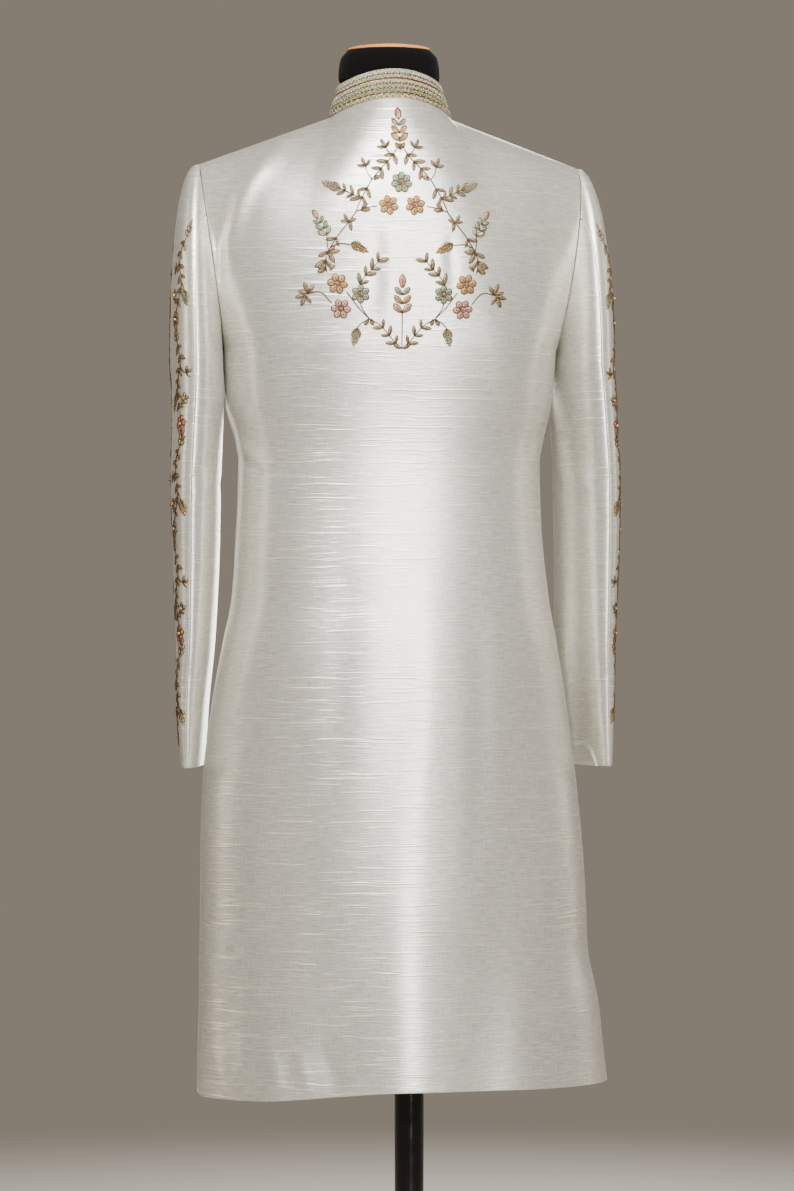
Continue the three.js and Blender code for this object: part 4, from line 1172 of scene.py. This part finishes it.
def strand(run, across, height, radius, tint, sides):
    """One tube along a wavy flat line: run, across and height are arrays."""
    centre = stack(run, across, height)[None]
    points, triangles, _ = tube_points(centre, sideways(np.gradient(centre, axis=1)), sides, False, radius)
    return points, triangles, np.broadcast_to(THREAD_COLOURS[TINTS.index(tint)], points.shape)


def make_braid(thread):
    """Six flat plaits of three strands, a twisted cord along each edge and rows of small beads.

    A plait's strand swings across as a sine and goes over and under at twice that rate; a cord's two
    strands go round each other. All are worked out flat, then bent onto the collar's face.
    """
    parts = []
    run = np.arange(2.0, COLLAR_RUN - 2.0, PLAIT["step"])
    for place, tints in PLAITS:
        for k, tint in enumerate(tints):
            turn = 2 * np.pi * (run / PLAIT["pitch"] + k / 3 + 5 * place)
            across = place * COLLAR_HEIGHT + PLAIT["swing"] * np.sin(turn)
            height = PLAIT["lift"] + PLAIT["rise"] * np.sin(2 * turn)
            parts.append(strand(run, across, height, PLAIT["radius"], tint, 5))
    run = np.arange(1.0, COLLAR_RUN - 1.0, EDGE_CORD["step"])
    for place, tints in EDGE_CORDS:
        for k, tint in enumerate(tints):
            turn = 2 * np.pi * run / EDGE_CORD["pitch"] + k * np.pi
            across = place * COLLAR_HEIGHT + EDGE_CORD["swing"] * np.sin(turn)
            height = EDGE_CORD["lift"] + EDGE_CORD["swing"] * np.cos(turn)
            parts.append(strand(run, across, height, EDGE_CORD["radius"], tint, 4))
    for place, spacing in BEAD_ROWS:
        spots = [(x, place * COLLAR_HEIGHT) for x in np.arange(3.0, COLLAR_RUN - 2.0, spacing)]
        points, triangles, colours = beads(spots, 0.7, 5, "silver_braid")
        parts.append((points + np.array([0, 0, 1.0]), triangles, colours))
    flat, triangles, colours = joined(parts)
    u_line = np.linspace(0, 1, 400)
    middle_line = collar_face(u_line, np.full(400, 0.5))
    length = np.concatenate([[0], np.cumsum(np.linalg.norm(np.diff(middle_line, axis=0), axis=1))])
    u = np.interp(flat[:, 0] / COLLAR_RUN, length / length[-1], u_line)
    v = flat[:, 1] / COLLAR_HEIGHT
    face = collar_face(u, v)
    points = face + flat[:, 2:] * outward(collar_face, u, v, collar_middle(face))
    return finish_ornament("collar_braid", points, triangles, colours, flat, thread)


def sprig(flower_tint, spike_tint, flip):
    """A loose spray about 110 mm tall for the sleeves, from its bud at the top down to a flower."""
    pads, path = vine([(-6, -4), (4, -26), (-5, -54), (5, -84)], 6, 0.06, 0.86, 9)
    stalks = [(2, -30), (9, -36), (14, -38)], [(-4, -52), (-10, -58), (-13, -64)]
    stems = [path, *(smooth_path(points) for points in stalks)]
    pads += spike(-7, -3, -16, ("cream", spike_tint, "pink"), 21)
    pads += trefoil(14, -38, 70, 8) + cone(-14, -66, -160, spike_tint, 12, 4)
    pads += flower(7, -93, flower_tint, 6, 9.5, 15) + flower(12, -66, spike_tint, 5, 6.5)
    dots = [(7, -93), (12, -66)]
    if flip:
        return mirrored(pads), [path * (-1, 1) for path in stems], [(-x, z) for x, z in dots]
    return pads, stems, dots


SPRIG_LANES = ((0.13, 1325, 5), (0.46, 1352, 5), (0.79, 1290, 4))  # share of the piece's width, top, count
SPRIG_STEP = 113


def sleeve_sprays(width_at):
    """Sprigs down three lanes of a top sleeve, turned over and tinted in turn."""
    pads, stems, dots = [], [], []
    for lane, (share, top, count) in enumerate(SPRIG_LANES):
        for k in range(count):
            tints = [("peach", "sage"), ("pink", "cream"), ("sage", "peach")][(lane + k) % 3]
            more, paths, spots = sprig(*tints, (lane + k) % 2 == 1)
            z = top - SPRIG_STEP * k
            x = share * width_at(z - 50)
            pads += [(x + px, z + pz, *rest) for px, pz, *rest in more]
            stems += [path + np.array([x, z]) for path in paths]
            dots += [(x + px, z + pz) for px, pz in spots]
    return pads, stems, dots


WREATH_Z = 1330.0
# Half of the back's wreath, in places (x, z) from its middle
VINES = [  # points, pairs of leaves, their first and last place as shares, their length and spread
    ([(1.5, 92), (9, 78), (22, 64), (32, 52)], 3, 0.28, 0.72, 10),
    ([(32, 52), (40, 38), (47, 24), (50, 16)], 2, 0.3, 0.6, 9.5),
    ([(50, 16), (60, 3), (70, -10), (80, -26)], 2, 0.22, 0.72, 9),
    ([(80, -26), (83, -38), (81, -49)], 2, 0.1, 0.5, 11),
    ([(44, 30), (50, 34), (58, 38), (66, 42)], 3, 0.1, 0.8, 8.5),
    ([(46, -62), (40, -52), (32, -44), (24, -34)], 4, 0.05, 0.95, 10, 38),
    ([(5, -127), (14, -116), (24, -105), (35, -99)], 3, 0.1, 0.62, 9),
]
STALKS = [
    [(32, 52), (37, 60), (38, 68)],
    [(9, 78), (14, 84), (16, 88)],
    [(50, 17), (38, 21), (27, 23)],
    [(80, -24), (81, -16), (81, -8)],
    [(78, -22), (68, -18), (56, -19)],
    [(35, -99), (46, -88), (60, -70)],
    [(36, -98), (43, -88), (45, -82)],
    [(76, -82), (88, -70), (103, -72)],
    [(35, -99), (44, -103), (48, -108)],
]
# Each row of these is what its shape's function takes, in that order
TREFOILS = [(16, 87, 25, 9.5), (38, 66, 22, 9.5), (101, -71, 22, 11), (104, -73, 160, 11)]
LEAVES = [
    (30, 51, -62, 9.5, 4.2, 0.8, 0.5),
    (58, 4, -60, 9.5, 4, 0.8, 0.5),
    (60, 6, 20, 8.5, 3.8, 0.8, -0.4),
    (45, 18, -84, 11),
    (44, 20, -48, 9),
    (36, -98, 150, 9),
    (34, -98, -160, 8),
    (82, -46, 66, 11.5),
    (82, -46, 104, 9.5),
    (82, -46, 32, 8.5),
    (78, -47, -42, 8, 4, 0.8, 0.5),
    (80, -28, -78, 13, 4.2),
    (80, -27, -50, 10, 4.0),
]
FLOWERS = [
    (14.5, 24, "peach", 6, 10.8, 12),
    (70, -61, "peach", 6, 11.2, 20),
    (45, -72, "sage", 6, 10.2, 0),
    (66, -88, "pink", 6, 10.8, 25),
]
CONES = [(69, 43, 68, "cream", 17), (52, -19, -118, "peach", 17), (49, -112, 168, "cream", 15)]
SPIKES = [(81, -8, 28, ("cream", "sage", "sage", "pink"), 32)]
# On the middle line
MIDDLE_SPIKES = [
    (0, 95, 0, ("peach", "peach", "sage", "pink"), 40),
    (0, -92, 0, ("pink", "peach", "sage", "pink"), 44),
]
MIDDLE_FLOWER = (0, 49, "sage", 7, 11.5, 0)


def wreath():
    """The back's wreath: half of it, mirrored, and then what stands on its middle line."""
    pads, stems = [], []
    for points, *options in VINES:
        more, path = vine(points, *options)
        pads += more
        stems.append(path)
    stems += [smooth_path(points) for points in STALKS]
    shapes = (trefoil, TREFOILS), (leaf, LEAVES), (flower, FLOWERS), (cone, CONES), (spike, SPIKES)
    for shape, rows in shapes:
        pads += [pad for row in rows for pad in shape(*row)]
    dots = [(x, z) for x, z, *_ in FLOWERS]
    pads += mirrored(pads)
    dots += [(-x, z) for x, z in dots]
    stems += [path * (-1, 1) for path in stems]
    for row in MIDDLE_SPIKES:
        pads += spike(*row)
    pads += flower(*MIDDLE_FLOWER)
    for side in (-1, 1):
        pads += leaf(side, 86, side * 30, 8) + leaf(0, -130, side * 58, 11, 4.6, 0.85, side * 0.3)
    stems += [smooth_path([(0, 84), (0, 92), (0, 100)]), smooth_path([(0, -130), (0, -110), (0, -90)])]
    return pads, stems, dots + [MIDDLE_FLOWER[:2]]


def make_back_embroidery(thread):
    """The wreath between the shoulder blades, its middle at WREATH_Z."""
    grid = face_map(back_face, body_middle, 180, 300)
    pads, stems, dots = wreath()
    pads = [(x, z + WREATH_Z, *rest) for x, z, *rest in pads]
    stems = [path + np.array([0, WREATH_Z]) for path in stems]
    dots = [(x, z + WREATH_Z) for x, z in dots]
    return embroider("back_wreath", grid, pads, stems, dots, thread)


# ---- Buttons, form and stand ----
def arc(middle, radius, start, end, steps=8):
    """Points (radius, height) on a quarter or other arc, from start to end degrees."""
    turn = np.radians(np.linspace(start, end, steps))
    return [(middle[0] + radius * a, middle[1] + radius * b) for a, b in zip(np.cos(turn), np.sin(turn))]


def turned(name, profile, around, place=(0.0, 0.0, 0.0), axis=(0.0, 0.0, 1.0), scale=(1.0, 1.0), offset=0.0):
    """A body of revolution: a profile of (radius, height) points turned round an axis, with closed ends.

    scale widens it to an oval along its first and second cross directions.
    """
    profile = np.array(profile, float)
    axis = np.asarray(axis, float)
    first = np.cross(axis, (0.0, 1.0, 0.0) if abs(axis[1]) < 0.9 else (1.0, 0.0, 0.0))
    first /= np.linalg.norm(first)
    second = np.cross(axis, first)
    turn = np.arange(around) * 2 * np.pi / around
    radius, height = profile[:, 0, None], profile[:, 1, None]
    across, back = radius * scale[0] * np.cos(turn), radius * scale[1] * np.sin(turn)
    rings = across[..., None] * first + back[..., None] * second + height[..., None] * axis
    poles = profile[[0, -1], 1, None] * axis
    points = np.concatenate([rings.reshape(-1, 3), poles]) + np.asarray(place, float)
    flat = np.concatenate([stack(across, back, 0.0).reshape(-1, 3), np.zeros((2, 3))])
    triangles = rings_to_triangles(1, len(profile), around, False)
    return make_mesh(name, points, facing_out(points, triangles), flat[:, :2] * MM, offset)


def make_buttons(silk):
    """Covered buttons: silk drawn over a dome and gathered behind it onto a short shank."""
    radius, rim, height, shank = (BUTTON[key] for key in ("radius", "rim", "height", "shank"))
    profile = [(shank * 0.2, 0.0), (shank, 0.0), (shank, 0.5)]
    profile += [(mix(shank, radius * 0.95, t), 0.5 + 0.7 * t**2) for t in (0.4, 0.75, 1.0)]
    profile += arc((radius - 1.2, rim - 0.4), 1.2, -70, 60)
    dome = np.radians(np.linspace(14, 88, 12))
    profile += [((radius - 0.5) * np.cos(a), rim + (height - rim) * np.sin(a)) for a in dome]
    for i in range(BUTTON["count"]):
        z = mix(BUTTON_TOP_Z, BUTTON_BOTTOM_Z, i / (BUTTON["count"] - 1))
        heights = np.linspace(0, 1, 2000)
        v = np.interp(z, body(np.full(2000, 0.5), heights, -1)[:, 2], heights)
        u, v = np.array([0.5]), np.array([v])
        foot = body(u, v, -1)
        normal = outward(lambda a, b: body(a, b, -1), u, v, body_middle(foot))[0]
        place = foot[0] + BUTTON["clear"] * normal
        cover = turned(f"button_{i + 1}_cover", profile, 56, place, normal, offset=FORM_OFFSET)
        finish_piece(cover, silk, [f"button_{i + 1}"])


def make_form(jersey):
    """The padded form under its stretched cover: level sections, a flat base and a rounded neck top."""
    around, edge = 140, 3.0
    turn = np.arange(around) * 2 * np.pi / around
    low, high = FORM[0, 0], FORM[-1, 0]
    # the levels are closer together in the neck, which shows
    levels = np.concatenate([np.linspace(low + 6, NECK_FROM_Z, 76), np.linspace(NECK_FROM_Z + 3, high, 40)])
    z = np.concatenate([[low], low + edge * (1 - np.cos(np.linspace(0, np.pi / 2, 6))), levels])
    inset = np.concatenate([[edge * 4], edge * (1 - np.sin(np.linspace(0, np.pi / 2, 6))), 0 * levels])
    square = read(FORM, FORM_COLUMNS, "square", z)[:, None]
    depth = np.where(
        np.sin(turn) >= 0,
        read(FORM, FORM_COLUMNS, "back", z)[:, None],
        read(FORM, FORM_COLUMNS, "front", z)[:, None],
    )
    half = read(FORM, FORM_COLUMNS, "half", z)[:, None]
    x = (half - inset[:, None]) * signed_power(np.cos(turn), 2 / square)
    y = (depth - inset[:, None]) * signed_power(np.sin(turn), 2 / square)
    rings = stack(x, y, z[:, None]).reshape(-1, 3)
    points = np.concatenate([rings, [(0, 0, low), (0, 0, high)]])
    triangles = rings_to_triangles(1, len(z), around, False)
    cover = make_mesh("form_cover", points, facing_out(points, triangles))
    finish_piece(cover, jersey, ["form_torso"])


def make_neck_cap(wood):
    """The turned cap on the neck: a small square edge under a low dome, oval as the neck is."""
    half, edge, rise = WOOD_CAP["half"], WOOD_CAP["edge"], WOOD_CAP["rise"]
    profile = [(half * 0.2, 0.0), (half - 0.6, 0.0), *arc((half - 0.6, 0.6), 0.6, -60, 0, 4)]
    profile += arc((half - 0.7, edge - 0.5), 0.7, 0, 60, 4)
    dome = np.radians(np.linspace(8, 89, 22))
    profile += [((half - 1.2) * np.cos(a), edge + rise * np.sin(a)) for a in dome]
    place = (0.0, 0.0, WOOD_CAP["bottom"])
    cap = turned("neck_cap", profile, 128, place, scale=(1.0, WOOD_CAP["deep"] / half), offset=FORM_OFFSET)
    finish_piece(cap, wood, ["form_cap"])


def make_stand(enamel):
    """The steel pole and its spun foot, with a domed top, a flared hub and a rounded rim."""
    radius, bottom, top = POLE["radius"], POLE["bottom"], POLE["top"]
    profile = [(4.0, bottom), (radius - 0.5, bottom), (radius, bottom + 0.5), (radius, bottom + 30)]
    profile += [(radius, z) for z in np.linspace(bottom + 60, top - 1, 12)] + [(radius - 1, top), (4.0, top)]
    finish_piece(turned("pole_tube", profile, 96, offset=0.0), enamel, ["stand_pole"])
    radius, edge, height = BASE["radius"], BASE["edge"], BASE["height"]
    hub, hub_top = BASE["hub_radius"], BASE["hub_height"]
    profile = [(20.0, 0.0), (radius - 1.5, 0.0), *arc((radius - 1.5, 1.5), 1.5, -75, 0, 5)]
    profile += arc((radius - 3.5, edge - 1.5), 3.5, 0, 78, 8)
    slope = np.linspace(0, 1, 16)[1:]
    profile += list(zip(mix(radius - 4.5, hub + 9, slope), mix(edge + 2, height, np.sin(slope * np.pi / 2))))
    flare = np.radians(np.linspace(8, 90, 9))
    profile += [(hub + 8 - 8 * np.sin(a), height + 8 - 8 * np.cos(a)) for a in flare]
    profile += arc((hub - 3, hub_top - 3), 3, 0, 90, 7) + [(5.0, hub_top)]
    finish_piece(turned("foot_plate", profile, 160, offset=0.0), enamel, ["stand_base"])


# ---- Floor, light and camera ----
IMAGE = (794, 1191)
SCALE_MM = 1.10  # millimetres a pixel on the form's axis
AXIS_PIXEL_X = 389.0
CAMERA = {"away": 5000.0, "yaw": 7.5, "height": 934.0}


def make_camera():
    """Level, at chest height behind the coat and a little to its left, aimed past the form's axis."""
    yaw = np.radians(CAMERA["yaw"])
    back_to_front = np.array([-np.sin(yaw), -np.cos(yaw), 0])
    to_right = np.array([-np.cos(yaw), np.sin(yaw), 0])
    axis = FORM_OFFSET + np.array([0, 0, CAMERA["height"]])
    aim = axis + to_right * (IMAGE[0] / 2 - AXIS_PIXEL_X) * SCALE_MM
    data = bpy.data.cameras.new("camera")
    data.sensor_fit = "VERTICAL"
    data.sensor_height = 24
    data.lens = data.sensor_height * CAMERA["away"] / (IMAGE[1] * SCALE_MM)
    data.clip_end = 100
    camera = bpy.data.objects.new("camera", data)
    camera.location = (aim - back_to_front * CAMERA["away"]) * MM
    camera.rotation_euler = Vector(back_to_front).to_track_quat("-Z", "Y").to_euler()
    bpy.context.scene.collection.objects.link(camera)
    bpy.context.scene.camera = camera


def make_light(name, place, aim, size, watts, tint, spread):
    """A soft box at place, in metres, turned to aim. A grid in front narrows its beam to spread degrees."""
    data = bpy.data.lights.new(name, "AREA")
    data.shape, data.size, data.size_y = "RECTANGLE", size[0], size[1]
    data.energy = watts
    data.spread = np.radians(spread)
    data.color = colour(tint)[:3]
    light = bpy.data.objects.new(name, data)
    light.location = place
    light.rotation_euler = (Vector(aim) - Vector(place)).to_track_quat("-Z", "Y").to_euler()
    bpy.context.scene.collection.objects.link(light)


# name, place, aim, size, watts, tint and spread; places and sizes in metres
LIGHTS = [
    # tall and narrow, by the camera: it draws the bright middle of the silk
    ("key_strip", (-0.65, 4.3, 1.5), (0.0, 0.0, 1.08), (0.4, 2.7), 148, "#FFFFFF", 180),
    # the others lift the sides and the shoulders
    ("high_behind", (0.2, 2.4, 3.6), (0.02, 0.0, 1.62), (2.8, 1.0), 31, "#FFFFFF", 44),
    ("side_left", (3.6, -0.4, 1.9), (0.0, 0.0, 1.3), (0.8, 1.8), 26, "#FFF3E2", 180),
    ("side_right", (-3.6, -0.6, 1.9), (0.0, 0.0, 1.3), (0.8, 1.8), 17, "#FFF3E2", 180),
    ("front_fill", (-0.9, -4.2, 1.6), (0.0, 0.0, 0.95), (0.8, 2.6), 120, "#FFFFFF", 180),
]
WORLD_STRENGTH = 0.39
FLOOR_RADIUS = 3200.0


def make_studio():
    """A pale round floor that fades into the pale surroundings, and the soft boxes."""
    world = bpy.data.worlds.new("studio")
    bpy.context.scene.world = world
    world.use_nodes = True
    background = world.node_tree.nodes["Background"]
    background.inputs[0].default_value = colour("#CEC1AF")
    background.inputs[1].default_value = WORLD_STRENGTH
    turn = np.radians(np.arange(0, 360, 5))
    rings = np.linspace(0.02, 1, 12) * FLOOR_RADIUS
    points = stack(rings[:, None] * np.cos(turn), rings[:, None] * np.sin(turn), 0.0).reshape(-1, 3)
    faces = grid_faces(len(rings), len(turn))
    wrap = np.arange(len(rings) - 1) * len(turn)
    last = wrap + len(turn) - 1
    faces = np.concatenate([faces, np.stack([last, wrap, wrap + len(turn), last + len(turn)], axis=1)])
    floor = make_mesh("floor", points - np.array([0, 0, 0.2]), faces[:, ::-1], offset=0.0)
    material, tree = new_material("pale_floor")
    where = add(tree, "ShaderNodeTexCoord").outputs["Object"]
    distance = add(tree, "ShaderNodeVectorMath", {0: where}, operation="LENGTH").outputs["Value"]
    reach_of_floor = {"Value": distance, "From Min": 0.9, "From Max": 3.1}
    fade = add(tree, "ShaderNodeMapRange", reach_of_floor, interpolation_type="SMOOTHSTEP")
    matt = add(tree, "ShaderNodeBsdfPrincipled", {"Base Color": colour("#D6CFC4"), "Roughness": 0.9})
    clear = add(tree, "ShaderNodeBsdfTransparent")
    both = add(tree, "ShaderNodeMixShader", {0: fade.outputs[0], 1: matt.outputs[0], 2: clear.outputs[0]})
    floor.data.materials.append(close_material(material, tree, both))
    for light in LIGHTS:
        make_light(*light)


def main():
    silk = raw_silk()
    thread = metal_thread()
    make_camera()
    make_studio()
    make_form(knitted_jersey())
    make_neck_cap(varnished_wood())
    make_stand(enamelled_steel())
    make_body_panels(silk, thread)
    make_sleeves(silk, thread)
    make_collar(thread)
    make_buttons(silk)


main()
